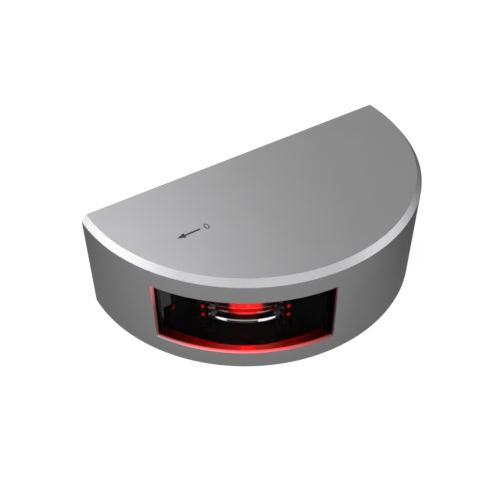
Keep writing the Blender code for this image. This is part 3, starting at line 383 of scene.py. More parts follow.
def along_x(outline, start, end):
    """Extrude an outline of (y, z) points along X."""
    turn = Matrix(((0, 0, 1, 0), (1, 0, 0, 0), (0, 1, 0, 0), (0, 0, 0, 1)))
    return placed(prism(outline, start, end), turn)


def ring(outer, inner, bottom, top):
    """Extrude the band between two plan outlines."""
    bm = bmesh.new()
    edges = []
    for outline in (outer, inner):
        verts = [bm.verts.new((x, y, bottom)) for x, y in outline]
        edges += [bm.edges.new(pair) for pair in zip(verts, verts[1:] + verts[:1])]
    band = bmesh.ops.bridge_loops(bm, edges=edges)["faces"]
    grown = bmesh.ops.extrude_face_region(bm, geom=band)["geom"]
    bmesh.ops.translate(bm, verts=verts_of(grown), vec=(0, 0, top - bottom))
    bmesh.ops.recalc_face_normals(bm, faces=bm.faces)
    return bm


def block(low, high):
    """Return a rectangular block between two corners."""
    bm = bmesh.new()
    bmesh.ops.create_cube(bm, size=1)
    bmesh.ops.scale(bm, verts=bm.verts, vec=[high[i] - low[i] for i in range(3)])
    bmesh.ops.translate(bm, verts=bm.verts, vec=[(low[i] + high[i]) / 2 for i in range(3)])
    return bm


def columns(places, radius, bottom, top, segments=SCREW_TURN):
    """Return upright round columns at several plan points, as one shape."""
    bm = bmesh.new()
    for x, y in places:
        bmesh.ops.create_cone(bm, cap_ends=True, segments=segments, radius1=radius, radius2=radius,
                              depth=top - bottom, matrix=Matrix.Translation((x, y, (bottom + top) / 2)))
    return bm


def ellipse(centre, half_x, half_y, steps=BOSS_TURN):
    """Return the points of an ellipse in plan."""
    turns = [2 * math.pi * i / steps for i in range(steps)]
    return [(centre[0] + half_x * math.cos(turn), centre[1] + half_y * math.sin(turn)) for turn in turns]


def tube(place, outer, inner, bottom, top):
    """Return an upright round tube at a plan point."""
    return ring(ellipse(place, outer, outer), ellipse(place, inner, inner), bottom, top)


def thread(radius, start, end, pitch, depth):
    """Return the profile points of ridges from one height to another; a negative depth lies outwards."""
    count = max(1, round(abs(end - start) / pitch))
    points = []
    for i in range(count):
        points.append((radius, start + (end - start) * i / count))
        points.append((radius - depth, start + (end - start) * (i + 0.5) / count))
    points.append((radius, end))
    return points


def hex_socket(bottom, top):
    """Return the cutter for a screw's hexagon socket."""
    return prism(ellipse((0, 0), SOCKET_RADIUS, SOCKET_RADIUS, 6), bottom, top)


def notched_outline(layout, radius, back, corner):
    """Return a D outline whose back corners are left out, each rounded about its insert."""
    limit = math.acos((corner - layout.insert_y) / radius)
    steps = round(2 * limit / ARC_STEP)
    outline = [on_circle(radius, limit * (2 * i / steps - 1)) for i in range(steps + 1)]
    turns = [math.pi / 2 * i / CORNER_STEPS for i in range(CORNER_STEPS + 1)]
    (left, y), (right, _) = layout.inserts
    outline += [(right - corner * math.sin(turn), y - corner * math.cos(turn)) for turn in turns]
    outline += [(right - corner, back), (left + corner, back)]
    outline += [(left + corner * math.cos(turn), y - corner * math.sin(turn)) for turn in turns]
    return outline


def workpiece(bm):
    """Make a passing object from a shape, for the modifiers to work on."""
    mesh = bpy.data.meshes.new("workpiece")
    bm.to_mesh(mesh)
    bm.free()
    made = bpy.data.objects.new("workpiece", mesh)
    bpy.context.scene.collection.objects.link(made)
    return made


def carved(bm, *cutters, operation="DIFFERENCE"):
    """Cut shapes out of a shape, or join them to it, and return the result."""
    blank = workpiece(bm)
    tools = [workpiece(cutter) for cutter in cutters]
    for item in tools:
        modifier = blank.modifiers.new("cut", "BOOLEAN")
        modifier.object = item
        modifier.operation = operation
        modifier.solver = "EXACT"
    result = bmesh.new()
    result.from_object(blank, bpy.context.evaluated_depsgraph_get())
    for item in [blank] + tools:
        bpy.data.meshes.remove(item.data)
    bmesh.ops.remove_doubles(result, verts=result.verts, dist=MERGE_DISTANCE)
    if not result.faces:
        raise RuntimeError("a cut left nothing")
    return result


def joined(*shapes):
    """Put several shapes into one; the faces of each take the material of its place in the list."""
    result = bmesh.new()
    for index, bm in enumerate(shapes):
        for face in bm.faces:
            face.material_index = index
        mesh = bpy.data.meshes.new("joined")
        bm.to_mesh(mesh)
        bm.free()
        result.from_mesh(mesh)
        bpy.data.meshes.remove(mesh)
    return result


def broken(bm, width, limit=SHARP_ANGLE, steps=2, chosen=None):
    """Break the sharp edges of a shape, or those of them that a test picks, by a small round bevel."""
    bm.normal_update()
    edges = [edge for edge in bm.edges if edge.is_manifold and edge.calc_face_angle() > limit]
    if chosen:
        edges = [edge for edge in edges if chosen(edge)]
    bmesh.ops.bevel(bm, geom=edges, offset=width, offset_type="OFFSET", affect="EDGES", segments=steps,
                    profile=0.5, material=-1, clamp_overlap=True)
    return bm


def placed(bm, matrix):
    """Move a shape by a matrix."""
    bmesh.ops.transform(bm, matrix=matrix, verts=bm.verts)
    return bm


def finished(name, bm, materials, nodes):
    """Make the piece that stands for some CAD nodes; its plain materials may be given by name."""
    mesh = bpy.data.meshes.new(name)
    bm.to_mesh(mesh)
    bm.free()
    for item in materials:
        mesh.materials.append(stock(item) if isinstance(item, str) else item)
    mesh.shade_smooth()
    mesh.set_sharp_from_angle(angle=SHARP_ANGLE)
    piece = bpy.data.objects.new(name, mesh)
    bpy.context.scene.collection.objects.link(piece)
    even = piece.modifiers.new("even shading", "WEIGHTED_NORMAL")
    even.keep_sharp = True
    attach(piece, "root")
    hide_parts(*nodes)
    return piece


def middle_of(node):
    """Return the plan point in the middle of a CAD node."""
    low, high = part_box(node)
    return (low.x + high.x) / 2, (low.y + high.y) / 2


def numbered(stem, count):
    """Return numbered node names."""
    return [f"{stem}_{number}" for number in range(1, count + 1)]


def about_centre(layout, node):
    """Return the plan point in the middle of a CAD node, from the centre of the curved front."""
    x, y = middle_of(node)
    return x, y - layout.centre.translation.y


def about_axis(layout, nodes):
    """Return the plan points in the middle of CAD nodes, with the window's axis along -Y."""
    inverse = layout.axis.inverted()
    return [(inverse @ Vector((*middle_of(node), 0))).to_2d() for node in nodes]


# Finishes


class Value:
    """The output of a shader node, which takes part in ordinary sums."""

    def __init__(self, finish, socket):
        self.finish = finish
        self.socket = socket

    def math(self, operation, *terms):
        """Add a Math node over some terms."""
        return self.finish.node("ShaderNodeMath", {"operation": operation}, dict(enumerate(terms)))

    def __add__(self, other):
        return self.math("ADD", self, other)

    def __radd__(self, other):
        return self.math("ADD", other, self)

    def __sub__(self, other):
        return self.math("SUBTRACT", self, other)

    def __rsub__(self, other):
        return self.math("SUBTRACT", other, self)

    def __mul__(self, other):
        return self.math("MULTIPLY", self, other)

    def __rmul__(self, other):
        return self.math("MULTIPLY", other, self)

    def __truediv__(self, other):
        return self.math("DIVIDE", self, other)

    def __pow__(self, other):
        return self.math("POWER", self, other)

    def __abs__(self):
        return self.math("ABSOLUTE", self)

    def within(self, low, high):
        """Return a smooth step from 0 at the first value to 1 at the second."""
        limits = {"Value": self, "From Min": low, "From Max": high}
        return self.finish.node("ShaderNodeMapRange", {"interpolation_type": "SMOOTHSTEP"}, limits)

    def near(self, place, reach):
        """Return 1 close to a value and 0 beyond a reach from it."""
        core = 0.6 * reach
        return 1 - abs(self - place).within(core, reach)

    def about(self, middle, spread):
        """Return a value that spreads about a middle while this one runs from 0 to 1."""
        return self * spread + (middle - spread / 2)


class Finish:
    """The node tree of a material or of the world, while it is put together."""

    def __init__(self, owner):
        owner.use_nodes = True
        self.tree = owner.node_tree
        self.tree.nodes.clear()

    def node(self, kind, settings=None, inputs=None, output=0):
        """Add a node of a type: its settings first, then the values or links of its sockets."""
        made = self.tree.nodes.new(kind)
        for name, value in (settings or {}).items():
            setattr(made, name, value)
        for name, value in (inputs or {}).items():
            if isinstance(value, Value):
                self.tree.links.new(value.socket, made.inputs[name])
            else:
                made.inputs[name].default_value = value
        return Value(self, made.outputs[output]) if made.outputs else None

    def place(self, scale=(1, 1, 1)):
        """Return Object coordinates, stretched."""
        coordinates = self.node("ShaderNodeTexCoord", output="Object")
        return self.node("ShaderNodeMapping", {}, {"Vector": coordinates, "Scale": scale})

    def parts(self, vector):
        """Return the three numbers of a vector."""
        first = self.node("ShaderNodeSeparateXYZ", {}, {0: vector})
        return [Value(self, socket) for socket in first.socket.node.outputs]

    def noise(self, place, scale, detail=2.0):
        """Return noise from 0 to 1 at a number of waves in a metre."""
        return self.node("ShaderNodeTexNoise", {}, {"Vector": place, "Scale": scale, "Detail": detail}, "Fac")

    def shade(self, value, first, second):
        """Return a colour between two, by a value."""
        return self.node("ShaderNodeMix", {"data_type": "RGBA"}, {"Factor": value, 6: first, 7: second}, 2)

    def varied(self, pattern, tint, low, high):
        """Return a colour that a pattern varies between two shares of its brightness."""
        return self.shade(pattern, opaque(tint, low), opaque(tint, high))

    def lit(self, *lights):
        """Return the sum of lights, each an amount and a colour."""
        total = None
        for amount, tint in lights:
            light = self.shade(amount, (0, 0, 0, 1), opaque(tint))
            if total is not None:
                settings = {"data_type": "RGBA", "blend_type": "ADD"}
                light = self.node("ShaderNodeMix", settings, {"Factor": 1.0, 6: total, 7: light}, 2)
            total = light
        return total

    def bump(self, height, distance, strength=1.0):
        """Return a surface normal that follows a height."""
        return self.node("ShaderNodeBump", {}, {"Height": height, "Distance": distance, "Strength": strength})

    def principled(self, glow=None, **inputs):
        """Return a Principled shader; an underscore stands for a space in a socket's name."""
        named = {name.replace("_", " "): value for name, value in inputs.items()}
        if glow:
            named["Emission Color"] = glow(self)
            named["Emission Strength"] = 1.0
        return self.node("ShaderNodeBsdfPrincipled", {}, named)

    def output(self, shader):
        """Finish a material with a shader."""
        self.node("ShaderNodeOutputMaterial", {}, {"Surface": shader})

    def surface(self, glow=None, **inputs):
        """Finish a material with a Principled shader."""
        self.output(self.principled(glow, **inputs))


def material(name, recipe, *values):
    """Return a named material, made once by a recipe that fills its node tree."""
    made = bpy.data.materials.get(name)
    if made is None:
        made = bpy.data.materials.new(name)
        recipe(Finish(made), *values)
    return made


def opaque(tint, factor=1.0):
    """Return a colour with full alpha, scaled."""
    return (tint[0] * factor, tint[1] * factor, tint[2] * factor, 1.0)


def blasted_metal(finish, tint, roughness, glow=None, unshaded=None):
    """Machined metal, lightly blasted; a glow paints light onto it, and painted shade darkens its colour
    where a given mask falls to 0.
    """
    place = finish.place()
    grain = finish.noise(place, scale=5200, detail=3)
    base = finish.varied(finish.noise(place, scale=90), tint, 0.97, 1.03)
    # painted shade: the base colour falls to a tenth of the tint where the mask is 0
    if unshaded:
        base = finish.shade(unshaded(finish), opaque(tint, 0.1), base)
    finish.surface(glow, Base_Color=base, Metallic=1.0, Roughness=grain.about(roughness, 0.06),
                   Normal=finish.bump(grain, 0.000004))


def brushed_metal(finish, tint, roughness):
    """Metal with fine lines along X."""
    lines = finish.noise(finish.place((60, 5000, 5000)), scale=1.0, detail=3)
    finish.surface(Base_Color=finish.varied(lines, tint, 0.92, 1.06), Metallic=1.0,
                   Roughness=lines.about(roughness, 0.12), Normal=finish.bump(lines, 0.000004))


def moulding(finish, tint, roughness, gloss=0.5, glow=None):
    """Moulded plastic or rubber with a fine eroded grain."""
    grain = finish.noise(finish.place(), scale=4200)
    finish.surface(glow, Base_Color=finish.varied(grain, tint, 0.85, 1.15),
                   Roughness=grain.about(roughness, 0.16), Normal=finish.bump(grain, 0.00001),
                   Specular_IOR_Level=gloss)


def clear_plastic(finish, tint, coating, glow=None):
    """Clear polished plastic; the coating's tint says how much it mirrors, and the glow what lights it."""
    haze = finish.noise(finish.place(), scale=60)
    finish.surface(glow, Base_Color=opaque(tint), Transmission_Weight=1.0, IOR=ACRYLIC_IOR,
                   Roughness=haze * 0.01, Specular_Tint=(coating, coating, coating, 1.0))


def coated_plastic(finish, tint, mirrored):
    """Clear polished plastic whose coating leaves only a share of the mirroring."""
    haze = finish.noise(finish.place(), scale=60)
    polished = finish.principled(Base_Color=opaque(tint), Transmission_Weight=1.0, IOR=ACRYLIC_IOR,
                                 Roughness=haze * 0.01)
    passing = {"Color": opaque(tint), "IOR": ACRYLIC_IOR, "Roughness": 0.0}
    clear = finish.node("ShaderNodeBsdfRefraction", {}, passing)
    finish.output(finish.node("ShaderNodeMixShader", {}, {"Fac": mirrored, 1: clear, 2: polished}))


def light_emitter(finish, tint, strength):
    """Lit dome of a light source, slightly uneven."""
    cells = finish.noise(finish.place(), scale=900, detail=1)
    finish.surface(Base_Color=opaque(tint, 0.6), Roughness=0.3, Emission_Strength=strength,
                   Emission_Color=finish.varied(cells, tint, 0.85, 1.0))


def circuit_board(finish, tint):
    """Solder mask over copper tracks."""
    place = finish.place()
    bricks = {"Vector": place, "Scale": 260.0, "Mortar Size": 0.05, "Color1": opaque(tint),
              "Color2": opaque(tint, 1.25), "Mortar": opaque(tint, 0.6)}
    tracks = finish.node("ShaderNodeTexBrick", {}, bricks, "Color")
    grain = finish.noise(place, scale=1500)
    finish.surface(Base_Color=tracks, Roughness=grain.about(0.4, 0.1), Normal=finish.bump(grain, 0.000005))


# Plain materials: recipe, colour and roughness
STOCK = {
    "machined_aluminium": (blasted_metal, "aluminium", ALUMINIUM_ROUGHNESS),
    "brushed_aluminium": (brushed_metal, "aluminium", 0.38),
    "stainless_steel_satin": (brushed_metal, "steel", 0.28),
    "nickel_plating": (brushed_metal, "nickel", 0.28),
    "board_pads": (brushed_metal, "nickel", 0.3),
    "capacitor_can_metal": (brushed_metal, "can", 0.3),
    "tinned_legs": (brushed_metal, "can", 0.35),
    "engraved_mark": (moulding, "mark", 0.6),
    "seal_rubber": (moulding, "rubber", RUBBER_ROUGHNESS),
    "white_board_mask": (moulding, "white_board", 0.5),
    "source_package": (moulding, "white_board", 0.5),
    "component_body": (moulding, "component", 0.5),
    "terminal_moulding": (moulding, "terminal", 0.45),
    "positive_insulation": (moulding, "lead_red", 0.5),
    "negative_insulation": (moulding, "lead_black", 0.5),
}


def stock(name):
    """Return a plain material by its name."""
    recipe, tint, roughness = STOCK[name]
    return material(name, recipe, getattr(bpy.context.scene.sidelight.finishes, tint), roughness)


def axis_place(finish, settings):
    """Return coordinates about the curve's centre, with the window's axis along -Y, as three values."""
    inverse = Layout(settings).axis.inverted()
    coordinates = finish.node("ShaderNodeTexCoord", output="Object")
    where = {"Vector": coordinates, "Location": inverse.translation, "Rotation": inverse.to_euler()}
    return finish.parts(finish.node("ShaderNodeMapping", {}, where))


def bearing_of(x, y):
    """Return the angle from the window's axis, in degrees."""
    return x.math("ARCTAN2", x, 0 - y) * math.degrees(1)


def distance_of(x, y):
    """Return the distance from the origin in plan."""
    return (x * x + y * y) ** 0.5


def band_light(x, y, layout):
    """Return the red light along the pane's foot: it fades to the sides, with a bright spot and two lines."""
    spot_bearing = 1.05
    line_bearing = 16.6
    dark_bearing = 36
    widening = 0.00008
    turn = bearing_of(x, y)
    aside = abs(turn)
    spot = 1 - abs(turn - spot_bearing).within(1.9, 2.7)
    line = aside.near(line_bearing, 0.5)
    fading = 1 - aside / dark_bearing
    depth = distance_of(x, y) - layout.pane_inside + aside * widening
    return depth.within(0.0002, 0.0006) * (fading * fading * fading * 0.64 + spot * 0.35 + line * 0.1)


# Housing


def housing_blank(settings):
    """Return the D-shaped block with its chamfer and broken edges."""
    housing = settings.housing
    shoulder = housing.height - housing.chamfer_drop
    bm = bmesh.new()
    bmesh.ops.create_circle(bm, cap_ends=True, segments=FINE_TURN, radius=housing.radius)
    rim = bm.edges[:]
    top_scale = 1 - housing.chamfer_width / housing.radius
    for rise, scale in ((shoulder, 1.0), (housing.chamfer_drop, top_scale)):
        grown = verts_of(bmesh.ops.extrude_edge_only(bm, edges=rim)["geom"])
        bmesh.ops.translate(bm, verts=grown, vec=(0, 0, rise))
        bmesh.ops.scale(bm, verts=grown, vec=(scale, scale, 1))
        raised = set(grown)
        rim = [edge for edge in bm.edges if raised.issuperset(edge.verts)]
    bmesh.ops.edgeloop_fill(bm, edges=rim)
    sawn = bmesh.ops.bisect_plane(bm, geom=bm.verts[:] + bm.edges[:] + bm.faces[:], dist=MERGE_DISTANCE,
                                  plane_co=(0, housing.back_offset, 0), plane_no=(0, 1, 0), clear_outer=True)
    back = [item for item in sawn["geom_cut"] if isinstance(item, bmesh.types.BMEdge)]
    bmesh.ops.edgeloop_fill(bm, edges=back)
    bmesh.ops.recalc_face_normals(bm, faces=bm.faces)
    if any(not edge.is_manifold for edge in bm.edges):
        raise RuntimeError("the housing's block is open")
    return broken(bm, housing.edge_break, math.radians(20))


def direction_mark(settings):
    """Return cutters for the engraved arrow and its 0."""
    housing = settings.housing
    bottom = housing.height - housing.mark_depth
    top = housing.height + housing.mark_depth
    tip = housing.mark_x
    y = housing.mark_y
    tail = tip + housing.mark_length
    head = tip + 0.35 * housing.mark_length
    half_head = 0.0012
    half_shaft = 0.00038
    arrow = [(tip, y), (head, y - half_head), (head, y - half_shaft), (tail, y - half_shaft),
             (tail, y + half_shaft), (head, y + half_shaft), (head, y + half_head)]
    zero = (tail + 0.0025, y)
    half_width = 0.0009
    half_height = 0.0014
    stroke = 0.00036
    outer = ellipse(zero, half_width, half_height)
    inner = ellipse(zero, half_width - stroke, half_height - stroke)
    return [prism(arrow, bottom, top), ring(outer, inner, bottom, top)]


def roof_holes(layout):
    """Return the tapped holes in the roof, above the spacers, the bracket and the chamber's posts."""
    nodes = numbered("board_spacer", 4) + numbered("bracket_screw", 2) + numbered("shield_screw", 2)
    places = [about_centre(layout, node) for node in nodes]
    return columns(places, TAP_RADIUS, layout.roof_inside - PAN_REACH, layout.roof_inside + PAN_REACH + FIT)


def window_cutters(settings):
    """Return the cutters for the window's opening and for the pane's seat behind its lip."""
    housing = settings.housing
    window = settings.window
    layout = Layout(settings)
    turn = Matrix.Rotation(window.bearing, 4, "Z")
    opening = rectangle(layout.lip_inside - window.overlap, housing.radius + window.lip, layout.sill,
                        layout.top)
    seat = rectangle(layout.inner_radius - window.pane, layout.lip_inside,
                     layout.sill - window.overlap - FIT, layout.top + window.overlap + FIT)
    seat_half_angle = layout.pane_half_angle + FIT / layout.pane_outside
    return [placed(swept(profile, -half_angle, half_angle), turn)
            for profile, half_angle in ((opening, window.half_angle), (seat, seat_half_angle))]


def pocket_cutters(settings):
    """Return the cutters for the pocket between the bosses, the base's rebate and the holes from below."""
    housing = settings.housing
    base = settings.base
    layout = Layout(settings)
    pocket_outline = notched_outline(layout, layout.inner_radius, layout.inner_back,
                                     base.insert_boss + base.insert_ledge)
    bosses = columns(layout.base_screws, base.screw_boss, 0, housing.height, BOSS_TURN)
    pocket = carved(prism(pocket_outline, layout.ledge - FIT, layout.roof_inside), bosses)
    rebate_outline = notched_outline(layout, layout.rebate_radius, layout.rebate_back, base.insert_boss)
    rebate = prism(rebate_outline, -layout.ledge, layout.ledge)
    insert_holes = columns(layout.inserts, base.insert_radius + FIT, -housing.height,
                           base.insert_length + HOLE_SPARE, BOSS_TURN)
    screw_holes = columns(layout.base_screws, base.screw_radius + TAP_CLEARANCE, 0,
                          base.screw_length + HOLE_SPARE)
    return [pocket, rebate, insert_holes, screw_holes, roof_holes(layout)]


def make_housing(settings):
    """Machine the housing: block, window, pane seat, pocket with bosses, rebate, holes and direction mark."""
    housing = settings.housing
    window = settings.window
    layout = Layout(settings)
    bm = carved(housing_blank(settings), *window_cutters(settings), *pocket_cutters(settings),
                *direction_mark(settings))
    inverse = Matrix.Rotation(window.bearing, 4, "Z").inverted()
    half_angle = window.half_angle + math.radians(0.1)
    mark_limit = housing.radius - 2 * housing.chamfer_width

    def window_place(point):
        """Return a point's distance from the centre, its height, and whether the window's sector holds it."""
        x, y, z = inverse @ point
        return math.hypot(x, y), z, abs(math.atan2(x, -y)) < half_angle

    def on_window_rim(edge):
        for vert in edge.verts:
            radius, z, in_sector = window_place(vert.co)
            at_wall = radius > housing.radius - TINY
            if not (at_wall and in_sector and layout.sill - FIT < z < layout.top + FIT):
                return False
        return True

    broken(bm, window.rim_break, chosen=on_window_rim)
    for face in bm.faces:
        radius, z, in_sector = window_place(face.calc_center_median())
        in_opening = in_sector and layout.sill - TINY < z < layout.top + TINY
        in_mark = housing.height - 2 * housing.mark_depth < z < housing.height - housing.mark_depth / 4
        if in_opening and layout.lip_inside - TINY < radius < housing.radius - TINY:
            face.material_index = 1
        elif in_mark and radius < mark_limit and face.normal.y < 0.9:
            face.material_index = 2
    # the reveals' material carries painted red and pale light, and painted shade along their inner edge
    lit = material("lit_reveal", blasted_metal, settings.finishes.aluminium, ALUMINIUM_ROUGHNESS,
                   reveal_glow(settings), reveal_painted_shade(settings))
    materials = ["machined_aluminium", lit, "engraved_mark"]
    finished("housing_shell", placed(bm, layout.centre), materials, ["housing"])


def reveal_painted_shade(settings):
    """Return the mask recipe for painted shade on the reveals: it is 0 along their inner edge beside the
    pane, which is painted dark, and 1 beyond.
    """
    inside = Layout(settings).lip_inside
    # painted shade is full up to the first distance from the lip's inside and gone past the second
    shade_core = 0.0003
    shade_reach = 0.0007

    def unshaded(finish):
        x, y, _ = axis_place(finish, settings)
        return distance_of(x, y).within(inside + shade_core, inside + shade_reach)

    return unshaded


def reveal_glow(settings):
    """Return the recipe for the light on the window's reveals: red, and pale at their outer edges."""
    layout = Layout(settings)
    half_angle = math.degrees(settings.window.half_angle)

    def glow(finish):
        x, y, z = axis_place(finish, settings)
        aside = abs(bearing_of(x, y))
        jamb = aside.within(half_angle - 0.25, half_angle - 0.05)
        sill = 1 - jamb
        outer = distance_of(x, y).within(layout.lip_inside, settings.housing.radius)
        rise = z.within(layout.middle - 0.001, layout.top)
        left = x.within(0.03, -0.03)
        along_sill = (1 - aside.within(8, 34) * 0.85) * (1 - outer * 0.3)
        left_jamb = left * (rise * 0.6 + 0.1)
        right_jamb = (1 - left) * outer * rise * 0.16
        red = sill * along_sill + jamb * (left_jamb + right_jamb)
        pale = sill * outer * (left * 0.34 + 0.04) + jamb * left * 0.03
        return finish.lit((red, (0.95, 0.09, 0.09)), (pale, (1, 0.95, 0.95)))

    return glow


# Base


def countersunk(head, shank, bottom, top):
    """Return the profile of a countersink and its hole, with a cone of 45 degrees."""
    return [(0, bottom), (head, bottom), (head, 0), (shank, head - shank), (shank, top), (0, top)]


def make_base(settings):
    """Make the base plate with its countersinks and cable hole, and the gasket above it."""
    base = settings.base
    layout = Layout(settings)
    outline = notched_outline(layout, layout.rebate_radius - FIT, layout.rebate_back - FIT,
                              base.insert_boss + FIT)
    below = -base.thickness
    above = 2 * base.thickness
    sink = countersunk(base.screw_head + COUNTERSINK_CLEARANCE, base.screw_radius + TAP_CLEARANCE, below,
                       above)
    sinks = [placed(turned(sink, SCREW_TURN), Matrix.Translation((x, y, 0))) for x, y in layout.base_screws]
    cable_hole = columns([about_centre(layout, "gland_body")], settings.gland.stub + FIT, below, above,
                         BOSS_TURN)
    plate = broken(carved(prism(outline, 0, base.thickness), cable_hole, *sinks), EDGE)
    finished("base_cover", placed(plate, layout.centre), ["brushed_aluminium"],
             ["base_plate"])
    inset = base.gasket_inset
    outer = notched_outline(layout, layout.rebate_radius - inset, layout.rebate_back - inset,
                            base.insert_boss + inset)
    inner = notched_outline(layout, layout.inner_radius + inset, layout.inner_back + inset,
                            base.insert_boss + base.insert_ledge - inset)
    bottom = base.thickness + FIT
    gasket = broken(ring(outer, inner, bottom, bottom + base.gasket), SMALL_EDGE)
    finished("base_seal_ring", placed(gasket, layout.centre), ["seal_rubber"],
             ["base_gasket"])


def make_base_screws(settings):
    """Make the countersunk socket screws that hold the base plate."""
    base = settings.base
    layout = Layout(settings)
    head = base.screw_head
    shank = base.screw_radius
    socket_depth = 0.4 * head
    profile = [(0, 0), (head - FINE_EDGE, 0), (head, FINE_EDGE), (shank, head - shank)]
    profile += thread(shank, head, base.screw_length - THREAD_PITCH, THREAD_PITCH, THREAD_DEPTH)
    profile += [(shank - THREAD_DEPTH, base.screw_length), (0, base.screw_length)]
    for number, (x, y) in enumerate(layout.base_screws, start=1):
        screw = carved(turned(profile, SCREW_TURN), hex_socket(-head, socket_depth))
        placed(screw, layout.centre @ Matrix.Translation((x, y, FIT)))
        finished(f"countersunk_screw_{number}", screw, ["stainless_steel_satin"],
                 [f"base_screw_{number}"])


def make_inserts(settings):
    """Make the threaded inserts that take the mounting bolts."""
    base = settings.base
    layout = Layout(settings)
    bottom = FIT
    top = FIT + base.insert_length
    edge = 0.0004
    bolt_pitch = 0.0008
    bolt_depth = 0.0004
    outer_pitch = 0.0012
    outer_depth = 0.0003
    root = base.insert_bore + bolt_depth
    profile = [(root, bottom)]
    profile += thread(base.insert_bore, bottom + edge, top - edge, bolt_pitch, -bolt_depth)
    profile += [(root, top), (base.insert_radius - edge, top)]
    profile += thread(base.insert_radius, top - edge, bottom + edge, outer_pitch, outer_depth)
    profile += [(base.insert_radius - edge, bottom)]
    for side, (x, y) in zip(("left", "right"), layout.inserts):
        bush = placed(turned(profile, BOSS_TURN), layout.centre @ Matrix.Translation((x, y, 0)))
        finished(f"threaded_insert_{side}", bush, ["stainless_steel_satin"],
                 [f"mount_insert_{side}"])


# Window


def make_window(settings):
    """Make the curved pane and the sealing bead between it and the lip."""
    window = settings.window
    layout = Layout(settings)
    bottom = layout.sill - window.overlap
    top = layout.top + window.overlap
    half_angle = layout.pane_half_angle
    profile = rectangle(layout.pane_inside, layout.pane_outside, bottom, top)
    pane = broken(swept(profile, -half_angle, half_angle), SMALL_EDGE)
    for face in pane.faces:
        centre = face.calc_center_median()
        outward = Vector((centre.x, centre.y, 0)).normalized()
        face.material_index = 0 if abs(face.normal.dot(outward)) > 0.9 else 1
    clear = material("clear_pane_plastic", coated_plastic, settings.finishes.pane, PANE_MIRRORED)
    edge = material("pane_edge", pane_edge, settings)
    finished("curved_pane", placed(pane, layout.axis), [clear, edge], ["window_pane"])
    outside = layout.lip_inside - FIT
    inside = outside - window.seal
    bead = swept(rectangle(inside, outside, bottom, top), -half_angle, half_angle)
    open_half_angle = half_angle - window.seal_width / layout.pane_outside
    open_profile = rectangle(inside - FIT, outside + FIT, bottom + window.seal_width, top - window.seal_width)
    bead = broken(carved(bead, swept(open_profile, -open_half_angle, open_half_angle)), FINE_EDGE)
    soft = material("pane_bead_rubber", moulding, settings.finishes.rubber, RUBBER_ROUGHNESS, 0.1,
                    foot_glow(settings))
    finished("pane_bead", placed(bead, layout.axis), [soft], ["window_seal"])


def foot_glow(settings):
    """Return the recipe for the red light that the foot of the pane carries round the window."""
    layout = Layout(settings)

    def glow(finish):
        x, y, z = axis_place(finish, settings)
        low = 1 - z.within(layout.sill, layout.sill + 0.0004)
        return finish.lit((low * band_light(x, y, layout), settings.finishes.red_light))

    return glow


def pane_edge(finish, settings):
    """Ground edge of the pane."""
    grain = finish.noise(finish.place(), scale=3000)
    finish.surface(foot_glow(settings), Base_Color=(0.02, 0.004, 0.004, 1), Roughness=grain.about(0.4, 0.1))


# Chamber and lens


def clip_places(layout, optics):
    """Return the optical-frame points of the screws under the lens clips."""
    middle = layout.lens_half_angle - optics.clip_foot / 4
    x, y = on_circle((layout.lens_back + optics.lens_radius) / 2, middle)
    return [(-x, y - layout.lens_centre), (x, y - layout.lens_centre)]


def make_chamber(settings):
    """Make the black chamber: floor, ceiling, side screens and the posts that it hangs on."""
    optics = settings.optics
    layout = Layout(settings)
    half_angle = optics.front_half_angle
    steps = round(2 * half_angle / ARC_STEP)
    outline = [on_circle(layout.chamber_front, half_angle * (2 * i / steps - 1)) for i in range(steps + 1)]
    outline += [(side * optics.back_half_width, -layout.chamber_back) for side in (1, -1)]
    floor = layout.chamber_floor
    ceiling = layout.chamber_ceiling
    reach = 2 * optics.wall
    back = layout.chamber_back - reach
    front = layout.screen_front + reach
    half_back = layout.screen_inside(back)
    half_front = layout.screen_inside(front)
    past = layout.inner_radius + settings.window.pane
    hollow = [(-half_back, -back), (-half_front, -front), (-half_front, -past), (half_front, -past),
              (half_front, -front), (half_back, -back)]
    posts = about_axis(layout, numbered("shield_screw", 2))
    bm = carved(prism(outline, floor - optics.wall, ceiling + optics.wall), prism(hollow, floor, ceiling))
    bm = carved(bm, columns(posts, optics.post_radius, ceiling + optics.wall / 2, layout.roof_inside - FIT,
                            BOSS_TURN), operation="UNION")
    bm = carved(bm, columns(posts, TAP_RADIUS, ceiling - optics.wall, layout.roof_inside + optics.wall),
                columns(clip_places(layout, optics), TAP_RADIUS, floor - reach, floor + optics.wall))
    broken(bm, EDGE)
    black = material("black_chamber_moulding", moulding, settings.finishes.black, 0.5, BLACK_GLOSS,
                     chamber_glow(settings))
    finished("light_chamber", placed(bm, layout.axis), [black], ["light_shield"])


def chamber_glow(settings):
    """Return the recipe for the light in the chamber: red on its floor, a pale sheen on the left screen."""
    layout = Layout(settings)

    def glow(finish):
        x, y, z = axis_place(finish, settings)
        height = z - layout.middle
        low = 1 - z.within(layout.chamber_floor + 0.0002, layout.chamber_floor + 0.0004)
        panel = x.within(-0.0242, -0.0245) * height.within(-0.0018, -0.0014)
        edge = x.within(-0.0267, -0.0269) * height.within(-0.0080, -0.0060)
        sheen = panel.math("MAXIMUM", panel, edge) * height.within(0.0066, 0.0062) * 0.032
        spot = x.near(-0.0237, 0.0006) * height.near(-0.0038, 0.0013) * 0.08
        return finish.lit((low * band_light(x, y, layout) + spot, settings.finishes.red_light),
                          (sheen, (1, 1, 1)))

    return glow


